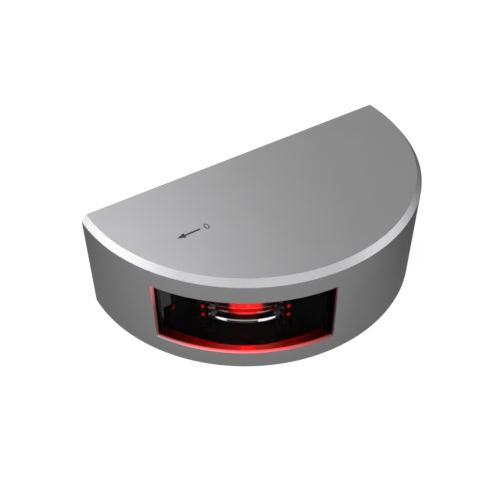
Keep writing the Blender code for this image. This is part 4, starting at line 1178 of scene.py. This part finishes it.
def lens_section(settings):
    """Return the lens section: a convex belt between prism rings, flat behind."""
    optics = settings.optics
    layout = Layout(settings)
    radius = optics.lens_radius
    rise = optics.belt_bulge
    half = optics.belt_half_height
    crest = radius - optics.ring_crest
    foot = radius - optics.ring_foot
    curve = (half ** 2 + rise ** 2) / (2 * rise)
    half_turn = math.asin(half / curve)
    turns = [half_turn * (2 * i / BELT_STEPS - 1) for i in range(BELT_STEPS + 1)]
    belt = [(radius - curve + curve * math.cos(turn), curve * math.sin(turn)) for turn in turns]
    first = half + layout.ring_height
    last = layout.lens_half_height
    above = [(crest, half), (foot, first), (crest, first), (foot, last), (layout.lens_back, last)]
    below = [(distance, -height) for distance, height in reversed(above)]
    return [(distance, layout.middle + height) for distance, height in below + belt + above]


def lens_glow(settings):
    """Return the recipe for the lens: the lit patch on its belt and the light along its steps and ends."""
    optics = settings.optics
    layout = Layout(settings)
    upper_step = layout.middle - optics.belt_half_height
    lower_step = upper_step - layout.ring_height
    foot = layout.middle - layout.lens_half_height + 0.0005
    crest = optics.lens_radius - optics.ring_crest
    patch_x = 0.0005
    line_x = 0.0006
    glint_x = 0.0011
    step_end = 20.2
    left_end = -18.8

    def glow(finish):
        x, y, z = axis_place(finish, settings)
        distance = distance_of(x, y + layout.lens_centre)
        turn = bearing_of(x, y + layout.lens_centre)
        aside = abs(turn)
        front = distance.within(layout.lens_back + 0.0030, layout.lens_back + 0.0034)
        patch = 1 - abs(x - patch_x).within(0.0041, 0.0063)
        belt = front * z.within(upper_step + 0.0001, upper_step + 0.0002) * patch
        glint = belt * x.near(glint_x, 0.0006) * z.near(layout.middle - 0.0012, 0.0018) * 0.05
        ledge = front * z.near(upper_step, 0.0001) * (patch * 0.55 + (1 - aside.within(17, 22)) * 0.03)
        upper_face = front * (1 - z.within(upper_step - 0.0001, upper_step))
        fading = 1 - abs(x - line_x).within(0.0004, 0.0075)
        line = upper_face * fading * z.within(upper_step - 0.0024, upper_step - 0.0008) * 0.75
        right = turn.within(8.4, 9.4) * (1 - turn.within(step_end, step_end + 1))
        left = turn.within(-12, -13) * (1 - turn.within(left_end, left_end - 1.4))
        between = turn.within(-13, -12) * turn.within(9.4, 8.4) * 0.38
        thickness = aside.within(21, 15) * 0.0009 + 0.0006 + (right + left) * 0.0013
        drop = lower_step - z
        low = (thickness - drop).within(-0.0002, 0.0003) * drop.within(0, 0.0001)
        step = low * distance.within(crest - 0.0016, crest - 0.0015) * (right + left + between)
        ends = aside.within(19.8, 20.6) * (1 - aside.within(24.6, 25.4))
        level = turn.within(1, -1) * 0.05 + 0.06
        rows = z.near(foot, 0.0005)
        for height in (upper_step, lower_step):
            rows = rows + z.near(height - 0.0002, 0.0003)
        grain = finish.noise(finish.place(), scale=1500).within(0.5, 0.56)
        specks = front * ends * level * rows * grain
        return finish.lit((belt, (1, 0.012, 0.012)), (ledge, settings.finishes.red_light),
                          (line, (1, 0.05, 0.05)), (step + glint + specks, (1, 1, 1)))

    return glow


def make_lens(settings):
    """Make the bent belt lens."""
    layout = Layout(settings)
    half_angle = layout.lens_half_angle
    bm = swept(lens_section(settings), -half_angle, half_angle, layout.lens_centre)
    clear = material("clear_lens_plastic", clear_plastic, settings.finishes.lens, LENS_COATING,
                     lens_glow(settings))
    finished("belt_lens", placed(bm, layout.axis), [clear], ["lens"])


def clip_glow(settings):
    """Return the recipe for the red light that leaks past the ends of the clips, as two spots on each."""
    layout = Layout(settings)
    spot_bearing = 27.2
    offset = 0.6

    def glow(finish):
        x, y, z = axis_place(finish, settings)
        aside = abs(bearing_of(x, y + layout.lens_centre) - offset)
        rows = z.near(layout.middle - 0.0026, 0.0009) + z.near(layout.middle - 0.0067, 0.0007)
        return finish.lit((rows * aside.near(spot_bearing, 1.1) * 0.6, settings.finishes.red_light))

    return glow


def make_clips(settings):
    """Make the clips that hold the ends of the lens."""
    optics = settings.optics
    layout = Layout(settings)
    half_angle = layout.lens_half_angle
    wall = optics.clip_wall
    seat = layout.middle - layout.lens_half_height - FIT
    top = layout.middle + layout.lens_half_height - wall
    stop = half_angle + FIT / layout.lens_back
    lip = half_angle - optics.clip_lip
    foot = half_angle - optics.clip_foot
    margin = wall / optics.lens_radius
    screw_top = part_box("clip_screw_1")[1].z
    body = rectangle(layout.clip_inside, layout.clip_outside, layout.chamber_floor + FIT, top)
    groove = rectangle(layout.lens_back - FIT, optics.lens_radius + FIT, seat, top + wall)
    relief = rectangle(layout.clip_inside - wall, layout.clip_outside + wall, seat, top + wall)
    black = material("black_clip_moulding", moulding, settings.finishes.black, 0.45, BLACK_GLOSS,
                     clip_glow(settings))
    for side, name, place in zip((-1, 1), ("left", "right"), clip_places(layout, optics)):

        def arc(profile, start, end):
            low, high = sorted((side * start, side * end))
            return swept(profile, low, high, layout.lens_centre)

        hole = columns([place], TAP_RADIUS, layout.chamber_floor - wall, screw_top + 2 * FIT)
        bm = carved(arc(body, foot, layout.clip_end), arc(groove, lip - margin, stop),
                    arc(relief, foot - margin, lip), hole)
        broken(bm, SMALL_EDGE)
        finished(f"lens_holder_{name}", placed(bm, layout.axis), [black], [f"lens_clip_{name}"])


# Light sources


def make_lights(settings):
    """Make the light sources: square packages with lit domes."""
    optics = settings.optics
    layout = Layout(settings)
    lit = material("lit_red_dome", light_emitter, settings.finishes.red_light, 2.0)
    half = optics.led_side / 2
    sunk = -optics.led_thickness / 2
    arc = [math.pi / 2 * i / DOME_STEPS for i in range(DOME_STEPS)]
    profile = [(optics.dome_radius * math.cos(turn), optics.dome_radius * math.sin(turn)) for turn in arc]
    profile = [(0, sunk), (optics.dome_radius, sunk)] + profile + [(0, optics.dome_radius)]
    for number in (1, 2, 3):
        package = broken(block((-half, 0, -half), (half, optics.led_thickness, half)), EDGE)
        dome = placed(turned(profile, SCREW_TURN), Matrix.Rotation(math.pi / 2, 4, "X"))
        bm = carved(package, dome, operation="UNION")
        for face in bm.faces:
            face.material_index = 1 if face.calc_center_median().y > -TINY else 0
        across = (number - 2) * optics.led_pitch
        placed(bm, layout.axis @ Matrix.Translation((across, -layout.led_distance, layout.middle)))
        finished(f"red_source_{number}", bm, [lit, "source_package"], [f"led_{number}"])


def make_light_mount(settings):
    """Make the light sources' board with its pads, and the bent bracket that carries it."""
    optics = settings.optics
    layout = Layout(settings)
    front = layout.led_board_front
    bottom = layout.middle - optics.board_height / 2
    left = -optics.bracket_half_width
    right = optics.bracket_half_width
    quarter = Matrix.Rotation(-math.pi / 2, 4, "X")
    places = [(side * optics.board_screw_across, -layout.middle) for side in (-1, 1)]

    def screw_holes():
        return placed(columns(places, TAP_RADIUS, -2 * front, 0), quarter)

    board = block((left, -front, bottom), (right + optics.board_edge, optics.board_thickness - front,
                                           bottom + optics.board_height))
    board = broken(carved(board, screw_holes()), FINE_EDGE)
    half = 0.95 * optics.led_side / 2
    pads = []
    for i in (-1, 0, 1):
        across = i * optics.led_pitch
        pads.append(block((across - half, -front - FIT / 4, layout.middle - half),
                          (across + half, -front, layout.middle + half)))
    materials = ["white_board_mask"] + len(pads) * ["board_pads"]
    finished("source_board", placed(joined(board, *pads), layout.axis), materials, ["led_board"])
    face = layout.bracket_front
    plate_back = face - optics.bracket_plate
    flange_back = plate_back - optics.bracket_flange
    top = layout.roof_inside - FIT
    flange = top - optics.bracket_plate
    foot = bottom - optics.bracket_foot
    section = [(-face, foot), (-plate_back, foot), (-plate_back, flange), (-flange_back, flange),
               (-flange_back, top), (-face, top)]
    bracket = along_x(section, left, right)

    def at_bend(edge):
        return all(abs(vert.co.y + face) < TINY and abs(vert.co.z - top) < TINY for vert in edge.verts)

    broken(bracket, BEND_RADIUS, steps=8, chosen=at_bend)
    flange_places = about_axis(layout, numbered("bracket_screw", 2))
    holes = columns(flange_places, TAP_RADIUS, flange - optics.bracket_plate, top + optics.bracket_plate)
    bracket = broken(carved(bracket, holes, screw_holes()), EDGE)
    finished("heat_bracket", placed(bracket, layout.axis), ["brushed_aluminium"],
             ["led_bracket"])


# Screws


def pan_screw(shank):
    """Return a pan-head screw with a hexagon socket: its head below its origin, its shank up along Z."""
    rim = 0.35
    flat = 0.6
    profile = [(0, -PAN_HEAD_HEIGHT)]
    for i in range(DOME_STEPS + 1):
        turn = math.pi / 2 * i / DOME_STEPS
        profile.append((PAN_HEAD_RADIUS * (flat + (1 - flat) * math.sin(turn)),
                        -PAN_HEAD_HEIGHT * (rim + (1 - rim) * math.cos(turn))))
    profile += [(PAN_HEAD_RADIUS, 0), (PAN_SHANK_RADIUS, 0)]
    profile += thread(PAN_SHANK_RADIUS, THREAD_PITCH, shank - THREAD_PITCH, THREAD_PITCH, THREAD_DEPTH)
    profile += [(PAN_SHANK_RADIUS - THREAD_DEPTH, shank), (0, shank)]
    return carved(turned(profile, SCREW_TURN), hex_socket(-2 * PAN_HEAD_HEIGHT, -0.4 * PAN_HEAD_HEIGHT))


def make_pan_screws(settings):
    """Make the small screws inside, each where its CAD node is."""
    optics = settings.optics
    layout = Layout(settings)
    screws = []
    for stem, count in (("shield_screw", 2), ("clip_screw", 2), ("bracket_screw", 2), ("board_screw", 4)):
        for node in numbered(stem, count):
            low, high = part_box(node)
            origin = Matrix.Translation((*middle_of(node), low.z + PAN_HEAD_HEIGHT))
            screws.append((node, high.z - low.z - PAN_HEAD_HEIGHT, origin))
    reach = layout.led_board_front - layout.bracket_front + optics.bracket_plate
    front = -layout.led_board_front - FIT
    inwards = Matrix.Rotation(-math.pi / 2, 4, "X")
    for side, node in zip((-1, 1), numbered("led_board_screw", 2)):
        where = Matrix.Translation((side * optics.board_screw_across, front, layout.middle))
        screws.append((node, reach, layout.axis @ where @ inwards))
    for node, shank, origin in screws:
        finished(f"socket_{node}", placed(pan_screw(shank), origin), ["stainless_steel_satin"],
                 [node])


# Driver


def make_driver_board(settings):
    """Make the driver board with its pads, and the spacers that it hangs on."""
    low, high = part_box("driver_board")
    nodes = numbered("board_spacer", 4)
    places = [middle_of(node) for node in nodes]
    thickness = high.z - low.z
    board = carved(block(low, high), columns(places, TAP_RADIUS, low.z - thickness, high.z + thickness))
    broken(board, FINE_EDGE)
    pad = 0.00005
    pad_radius = 0.0026
    rims = []
    for place in places:
        for bottom in (low.z - pad, high.z):
            rims.append(tube(place, pad_radius, TAP_RADIUS, bottom, bottom + pad))
    mask = material("driver_board_mask", circuit_board, settings.finishes.board)
    finished("driver_card", joined(board, *rims), [mask] + len(rims) * ["nickel_plating"], ["driver_board"])
    edge = 0.0003
    for number, node in enumerate(nodes, start=1):
        foot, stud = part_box(node)
        radius = (stud.x - foot.x) / 2
        rise = stud.z - foot.z
        body = rise - PAN_REACH
        bore = body / 2
        profile = [(0, bore), (TAP_RADIUS, bore), (TAP_RADIUS, 0), (radius - edge, 0), (radius, edge),
                   (radius, body - edge), (radius - edge, body), (PAN_SHANK_RADIUS, body)]
        profile += thread(PAN_SHANK_RADIUS, body + edge, rise - edge, THREAD_PITCH, THREAD_DEPTH)
        profile += [(PAN_SHANK_RADIUS - THREAD_DEPTH, rise), (0, rise)]
        spacer = placed(turned(profile, SCREW_TURN), Matrix.Translation((*middle_of(node), foot.z)))
        finished(f"threaded_spacer_{number}", spacer, ["nickel_plating"], [node])


def make_inductor():
    """Make the shielded inductor, which hangs below the driver board."""
    low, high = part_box("inductor")
    x, y = middle_of("inductor")
    half = (high.x - low.x) / 2
    corner = 0.001
    groove_depth = 0.0005
    half_foot_x = 0.0003
    half_foot_y = 0.0016
    foot_height = 0.0009
    groove = tube((x, y), 0.82 * half, 0.74 * half, low.z - groove_depth, low.z + groove_depth)
    core = carved(broken(block(low, high), corner, steps=4), groove)
    feet = []
    for side in (-1, 1):
        middle = x + side * 0.93 * half
        feet.append(block((middle - half_foot_x, y - half_foot_y, high.z - foot_height),
                          (middle + half_foot_x, y + half_foot_y, high.z)))
    materials = ["component_body"] + len(feet) * ["tinned_legs"]
    finished("shielded_coil", joined(core, *feet), materials, ["inductor"])


def make_capacitors():
    """Make the capacitors, which hang below the driver board: crimped cans with crossed vents."""
    edge = 0.0005
    slit = 0.00012
    for side in ("input", "output"):
        node = f"{side}_capacitor"
        low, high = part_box(node)
        radius = (high.x - low.x) / 2
        rise = high.z - low.z
        crimp = 0.78 * rise
        profile = [(0, 0), (radius - edge, 0), (radius - 0.3 * edge, 0.3 * edge), (radius, edge),
                   (radius, crimp), (radius - edge, crimp + edge), (radius, crimp + 2 * edge), (radius, rise),
                   (0, rise)]
        long_side = 0.6 * radius
        vents = [block((-long_side, -slit, -slit), (long_side, slit, slit)),
                 block((-slit, -long_side, -slit), (slit, long_side, slit))]
        can = carved(turned(profile, BOSS_TURN), *vents)
        placed(can, Matrix.Translation((*middle_of(node), low.z)))
        finished(f"{side}_capacitor_can", can, ["capacitor_can_metal"], [node])


def make_chip():
    """Make the driver's chip, which hangs below the driver board, with its gull-wing legs."""
    low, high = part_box("driver_chip")
    x, y = middle_of("driver_chip")
    half_y = (high.y - low.y) / 2
    body_y = 0.72 * half_y
    sheet = 0.0002
    lower = low.z + 0.0008
    upper = lower + sheet
    pitch = (high.x - low.x) / 4.6
    body = broken(block((low.x, y - body_y, low.z), (high.x, y + body_y, high.z - sheet)), 0.0002)
    gull = [(body_y, lower), (0.86 * half_y, lower), (0.88 * half_y, high.z - sheet),
            (half_y, high.z - sheet), (half_y, high.z), (0.82 * half_y, high.z), (0.80 * half_y, upper),
            (body_y, upper)]
    legs = []
    for side in (-1, 1):
        outline = [(y + side * across, height) for across, height in gull]
        for i in range(4):
            middle = x + (i - 1.5) * pitch
            legs.append(along_x(outline, middle - sheet, middle + sheet))
    materials = ["component_body"] + len(legs) * ["tinned_legs"]
    finished("driver_circuit", joined(body, *legs), materials, ["driver_chip"])


def make_terminals():
    """Make the terminal block with its wire entries and clamping screws, and the leads' connector."""
    low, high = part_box("terminal_block")
    x, y = middle_of("terminal_block")
    pitch = 0.0035
    entry_height = 0.0034
    entry_radius = 0.0012
    entry_reach = 0.005
    well_radius = 0.0014
    well_depth = 0.001
    screw_radius = 0.0013
    screw_bottom = low.z + 0.0004
    screw_top = low.z + 0.0012
    slot_reach = 0.0012
    half_slot = 0.0002
    slot_top = low.z + 0.0008
    entries = []
    wells = []
    screws = []
    for side in (-1, 1):
        row = y + side * pitch / 2
        turn = Matrix.Translation((low.x, row, low.z + entry_height)) @ Matrix.Rotation(math.pi / 2, 4, "Y")
        entries.append(placed(columns([(0, 0)], entry_radius, -entry_reach, entry_reach), turn))
        wells.append(columns([(x, row)], well_radius, low.z - well_depth, low.z + well_depth))
        slot = block((x - slot_reach, row - half_slot, low.z),
                     (x + slot_reach, row + half_slot, slot_top))
        screws.append(carved(columns([(x, row)], screw_radius, screw_bottom, screw_top), slot))
    body = carved(broken(block(low, high), 0.0002), *entries, *wells)
    materials = ["terminal_moulding"] + len(screws) * ["stainless_steel_satin"]
    finished("cable_terminals", joined(body, *screws), materials, ["terminal_block"])
    low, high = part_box("led_connector")
    x, y = middle_of("led_connector")
    half_pitch = 0.00125
    socket_radius = 0.0008
    socket_depth = 0.0012
    sockets = columns([(x, y - half_pitch), (x, y + half_pitch)], socket_radius, low.z - well_depth,
                      low.z + socket_depth)
    plug = carved(broken(block(low, high), 0.0004), sockets)
    finished("lead_connector", plug, ["white_board_mask"], ["led_connector"])


def dress_leads():
    """Give the two leads, whose shape stays, the finish of insulated wire."""
    for side in ("positive", "negative"):
        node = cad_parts[f"led_lead_{side}"]
        node.data.materials.clear()
        node.data.materials.append(stock(f"{side}_insulation"))


# Gland


def make_gland(settings):
    """Make the cable gland: a flush body, a rubber bush and a hexagon clamping nut."""
    gland = settings.gland
    origin = Matrix.Translation((*middle_of("gland_body"), 0))
    flange = settings.base.thickness + FIT
    shoulder = flange + gland.flange_thickness
    top = shoulder + gland.sleeve
    bore = gland.cable + FIT
    bush = gland.cable + gland.wall
    socket = bush + FIT
    sleeve = socket + gland.wall
    edge = 0.0002
    sleeve_pitch = 0.0008
    sleeve_depth = 0.0003
    rib_pitch = 0.0012
    profile = [(bore + edge, FIT), (gland.stub - edge, FIT), (gland.stub, FIT + edge), (gland.stub, flange),
               (gland.flange, flange), (gland.flange, shoulder - edge), (gland.flange - edge, shoulder)]
    profile += thread(sleeve, shoulder, top - edge, sleeve_pitch, sleeve_depth)
    profile += [(sleeve - edge, top), (socket, top), (socket, shoulder), (bore, shoulder), (bore, FIT + edge)]
    body = placed(turned(profile, BOSS_TURN), origin)
    finished("cable_gland_body", body, ["nickel_plating"], ["gland_body"])
    bottom = shoulder + FIT
    ribs = thread(gland.cable, bottom + edge, top - FIT - edge, rib_pitch, -edge)
    profile = ribs + [(bush - edge, top - FIT), (bush, top - FIT - edge), (bush, bottom + edge),
                      (bush - edge, bottom)]
    seal = placed(turned(profile, BOSS_TURN), origin)
    finished("cable_gland_bush", seal, ["seal_rubber"], ["gland_seal"])
    flat = sleeve + FIT + gland.wall
    corner = flat / math.cos(math.pi / 6)
    nut_top = top + FIT + gland.wall
    blank = prism([on_circle(corner, math.pi / 3 * i) for i in range(6)], bottom, nut_top)
    drop = (corner - flat) * 0.6
    cone = [(0, bottom), (flat, bottom), (corner, bottom + drop), (corner, nut_top - drop), (flat, nut_top),
            (0, nut_top)]
    hollow = [(0, bottom - FIT), (sleeve + FIT, bottom - FIT), (sleeve + FIT, top + FIT), (bore, top + FIT),
              (bore, nut_top + FIT), (0, nut_top + FIT)]
    nut = carved(blank, turned(cone, BOSS_TURN), operation="INTERSECT")
    nut = placed(carved(nut, turned(hollow, BOSS_TURN)), origin)
    finished("cable_gland_nut", nut, ["nickel_plating"], ["gland_nut"])


# Operators


class SIDELIGHT_OT_housing(Operator):
    """Machine the housing with its window and its direction mark"""
    bl_idname = "sidelight.housing"
    bl_label = "Housing"

    def execute(self, context):
        make_housing(context.scene.sidelight)
        return {"FINISHED"}


class SIDELIGHT_OT_base(Operator):
    """Make the base plate and its gasket"""
    bl_idname = "sidelight.base"
    bl_label = "Base"

    def execute(self, context):
        make_base(context.scene.sidelight)
        return {"FINISHED"}


class SIDELIGHT_OT_base_screws(Operator):
    """Make the countersunk screws of the base"""
    bl_idname = "sidelight.base_screws"
    bl_label = "Base screws"

    def execute(self, context):
        make_base_screws(context.scene.sidelight)
        return {"FINISHED"}


class SIDELIGHT_OT_inserts(Operator):
    """Make the threaded mounting inserts"""
    bl_idname = "sidelight.inserts"
    bl_label = "Mounting inserts"

    def execute(self, context):
        make_inserts(context.scene.sidelight)
        return {"FINISHED"}


class SIDELIGHT_OT_gland(Operator):
    """Make the cable gland"""
    bl_idname = "sidelight.gland"
    bl_label = "Cable gland"

    def execute(self, context):
        make_gland(context.scene.sidelight)
        return {"FINISHED"}


class SIDELIGHT_OT_window(Operator):
    """Make the curved pane and its sealing bead"""
    bl_idname = "sidelight.window"
    bl_label = "Window"

    def execute(self, context):
        make_window(context.scene.sidelight)
        return {"FINISHED"}


class SIDELIGHT_OT_chamber(Operator):
    """Make the black chamber behind the pane"""
    bl_idname = "sidelight.chamber"
    bl_label = "Chamber"

    def execute(self, context):
        make_chamber(context.scene.sidelight)
        return {"FINISHED"}


class SIDELIGHT_OT_lens(Operator):
    """Make the belt lens and the clips at its ends"""
    bl_idname = "sidelight.lens"
    bl_label = "Lens"

    def execute(self, context):
        make_lens(context.scene.sidelight)
        make_clips(context.scene.sidelight)
        return {"FINISHED"}


class SIDELIGHT_OT_lights(Operator):
    """Make the red light sources, their board and its bracket"""
    bl_idname = "sidelight.lights"
    bl_label = "Light sources"

    def execute(self, context):
        make_lights(context.scene.sidelight)
        make_light_mount(context.scene.sidelight)
        return {"FINISHED"}


class SIDELIGHT_OT_driver(Operator):
    """Make the driver board, its spacers and the pieces on it"""
    bl_idname = "sidelight.driver"
    bl_label = "Driver"

    def execute(self, context):
        make_driver_board(context.scene.sidelight)
        make_inductor()
        make_capacitors()
        make_chip()
        return {"FINISHED"}


class SIDELIGHT_OT_wiring(Operator):
    """Make the terminals and the connector, and finish the leads"""
    bl_idname = "sidelight.wiring"
    bl_label = "Wiring"

    def execute(self, context):
        make_terminals()
        dress_leads()
        return {"FINISHED"}


class SIDELIGHT_OT_pan_screws(Operator):
    """Make the small screws inside"""
    bl_idname = "sidelight.pan_screws"
    bl_label = "Small screws"

    def execute(self, context):
        make_pan_screws(context.scene.sidelight)
        return {"FINISHED"}


# Stage


def softbox(name, place, aim, size, radiance):
    """Hang a soft rectangular lamp that shines a given brightness."""
    lamp = bpy.data.lights.new(name, "AREA")
    lamp.shape = "RECTANGLE"
    lamp.size, lamp.size_y = size
    lamp.energy = radiance * math.pi * size[0] * size[1]
    made = bpy.data.objects.new(name, lamp)
    made.location = place
    made.rotation_euler = (Vector(aim) - Vector(place)).to_track_quat("-Z", "Y").to_euler()
    made.visible_camera = False
    bpy.context.scene.collection.objects.link(made)


def stage_light(finish, shown, mirrored, fill):
    """Return the brightness that a stage surface shows to the camera, to mirrors and to all else."""
    path = finish.node("ShaderNodeLightPath").socket.node.outputs
    seen = Value(finish, path["Is Camera Ray"])
    glossy = Value(finish, path["Is Glossy Ray"])
    mirror = glossy.math("MAXIMUM", glossy, Value(finish, path["Is Transmission Ray"]))
    return seen, seen * shown + (1 - seen) * (mirror * mirrored + (1 - mirror) * fill)


def make_room(studio):
    """Set a pale room all round."""
    world = bpy.data.worlds.new("soft_room")
    bpy.context.scene.world = world
    room = Finish(world)
    _, brightness = stage_light(room, 1.0, studio.room_mirrored, studio.room_fill)
    background = room.node("ShaderNodeBackground", {}, {"Color": (1, 1, 1, 1), "Strength": brightness})
    room.node("ShaderNodeOutputWorld", {}, {"Surface": background})


def floor_paint(finish, studio):
    """Pale floor that keeps the object's shadow; in mirrors it shows a painted pool of light in front of the
    object and painted shade behind it.
    """
    behind = 0.05
    x, y, _ = finish.parts(finish.place())
    pool = (x * math.sin(studio.azimuth) - y * math.cos(studio.azimuth)).within(-0.04, 0.08)
    mirrored = pool * (studio.floor_mirrored - behind) + behind
    seen, brightness = stage_light(finish, studio.floor_glow, mirrored, 0.0)
    shine = finish.node("ShaderNodeEmission", {}, {"Color": (1, 1, 1, 1), "Strength": brightness})
    matt = finish.node("ShaderNodeBsdfDiffuse", {}, {"Color": (0.2, 0.2, 0.2, 1)})
    both = finish.node("ShaderNodeAddShader", {}, {0: shine, 1: matt})
    finish.output(finish.node("ShaderNodeMixShader", {}, {"Fac": seen, 1: shine, 2: both}))


def make_floor(studio):
    """Lay the floor."""
    bm = bmesh.new()
    bmesh.ops.create_grid(bm, x_segments=1, y_segments=1, size=3)
    mesh = bpy.data.meshes.new("pale_floor")
    bm.to_mesh(mesh)
    bm.free()
    mesh.materials.append(material("pale_floor", floor_paint, studio))
    floor = bpy.data.objects.new("pale_floor", mesh)
    bpy.context.scene.collection.objects.link(floor)


def make_camera(studio):
    """Set the camera at the photograph's viewing angle."""
    camera = bpy.data.cameras.new("camera")
    camera.lens = studio.focal_length
    camera.sensor_width = 36.0
    camera.clip_start = 0.01
    eye = bpy.data.objects.new("camera", camera)
    bpy.context.scene.collection.objects.link(eye)
    flat = math.cos(studio.elevation)
    forward = Vector((-math.sin(studio.azimuth) * flat, math.cos(studio.azimuth) * flat,
                      -math.sin(studio.elevation)))
    eye.rotation_mode = "QUATERNION"
    upright = forward.to_track_quat("-Z", "Y").to_matrix().to_4x4()
    eye.matrix_world = Matrix.Translation(studio.camera) @ upright @ Matrix.Rotation(studio.roll, 4, "Z")
    bpy.context.scene.camera = eye


class SIDELIGHT_OT_stage(Operator):
    """Set the floor, the soft light and the camera"""
    bl_idname = "sidelight.stage"
    bl_label = "Stage"

    def execute(self, context):
        studio = context.scene.sidelight.studio
        context.scene.view_settings.view_transform = "Standard"
        make_room(studio)
        make_floor(studio)
        aim = (0, 0, 0.03)
        softbox("left_softbox", (-0.68, 0.34, 0.31), aim, (1.0, 0.55), 2.2)
        softbox("top_softbox", (0.0, 0.48, 0.66), (-0.03, 0, 0.04), (0.45, 0.4), 1.65)
        softbox("front_softbox", (-0.2, -1.1, 0.75), aim, (1.2, 0.6), 1.3)
        softbox("right_softbox", (0.71, -0.56, 0.33), aim, (0.95, 0.4), 1.7)
        softbox("bow_softbox", (-0.85, -0.50, 0.66), aim, (0.6, 0.4), 1.85)
        make_camera(studio)
        return {"FINISHED"}


class SIDELIGHT_PT_panel(Panel):
    """Lists the steps that dress the sidelight"""
    bl_idname = "SIDELIGHT_PT_panel"
    bl_label = "Sidelight"
    bl_space_type = "VIEW_3D"
    bl_region_type = "UI"
    bl_category = "Sidelight"

    def draw(self, context):
        for operator in OPERATORS:
            self.layout.operator(operator.bl_idname)


OPERATORS = (SIDELIGHT_OT_housing, SIDELIGHT_OT_base, SIDELIGHT_OT_base_screws, SIDELIGHT_OT_inserts,
             SIDELIGHT_OT_gland, SIDELIGHT_OT_window, SIDELIGHT_OT_chamber, SIDELIGHT_OT_lens,
             SIDELIGHT_OT_lights, SIDELIGHT_OT_driver, SIDELIGHT_OT_wiring, SIDELIGHT_OT_pan_screws,
             SIDELIGHT_OT_stage)
CLASSES = (HousingSettings, BaseSettings, WindowSettings, OpticsSettings, GlandSettings, FinishSettings,
           StudioSettings, SidelightSettings) + OPERATORS + (SIDELIGHT_PT_panel,)


def register():
    for item in CLASSES:
        bpy.utils.register_class(item)
    bpy.types.Scene.sidelight = PointerProperty(type=SidelightSettings)


def unregister():
    del bpy.types.Scene.sidelight
    for item in reversed(CLASSES):
        bpy.utils.unregister_class(item)


def main():
    """Dress the sidelight and set the stage."""
    register()
    bpy.ops.sidelight.housing()
    bpy.ops.sidelight.base()
    bpy.ops.sidelight.base_screws()
    bpy.ops.sidelight.inserts()
    bpy.ops.sidelight.gland()
    bpy.ops.sidelight.window()
    bpy.ops.sidelight.chamber()
    bpy.ops.sidelight.lens()
    bpy.ops.sidelight.lights()
    bpy.ops.sidelight.driver()
    bpy.ops.sidelight.wiring()
    bpy.ops.sidelight.pan_screws()
    bpy.ops.sidelight.stage()


if __name__ == "__main__":
    main()
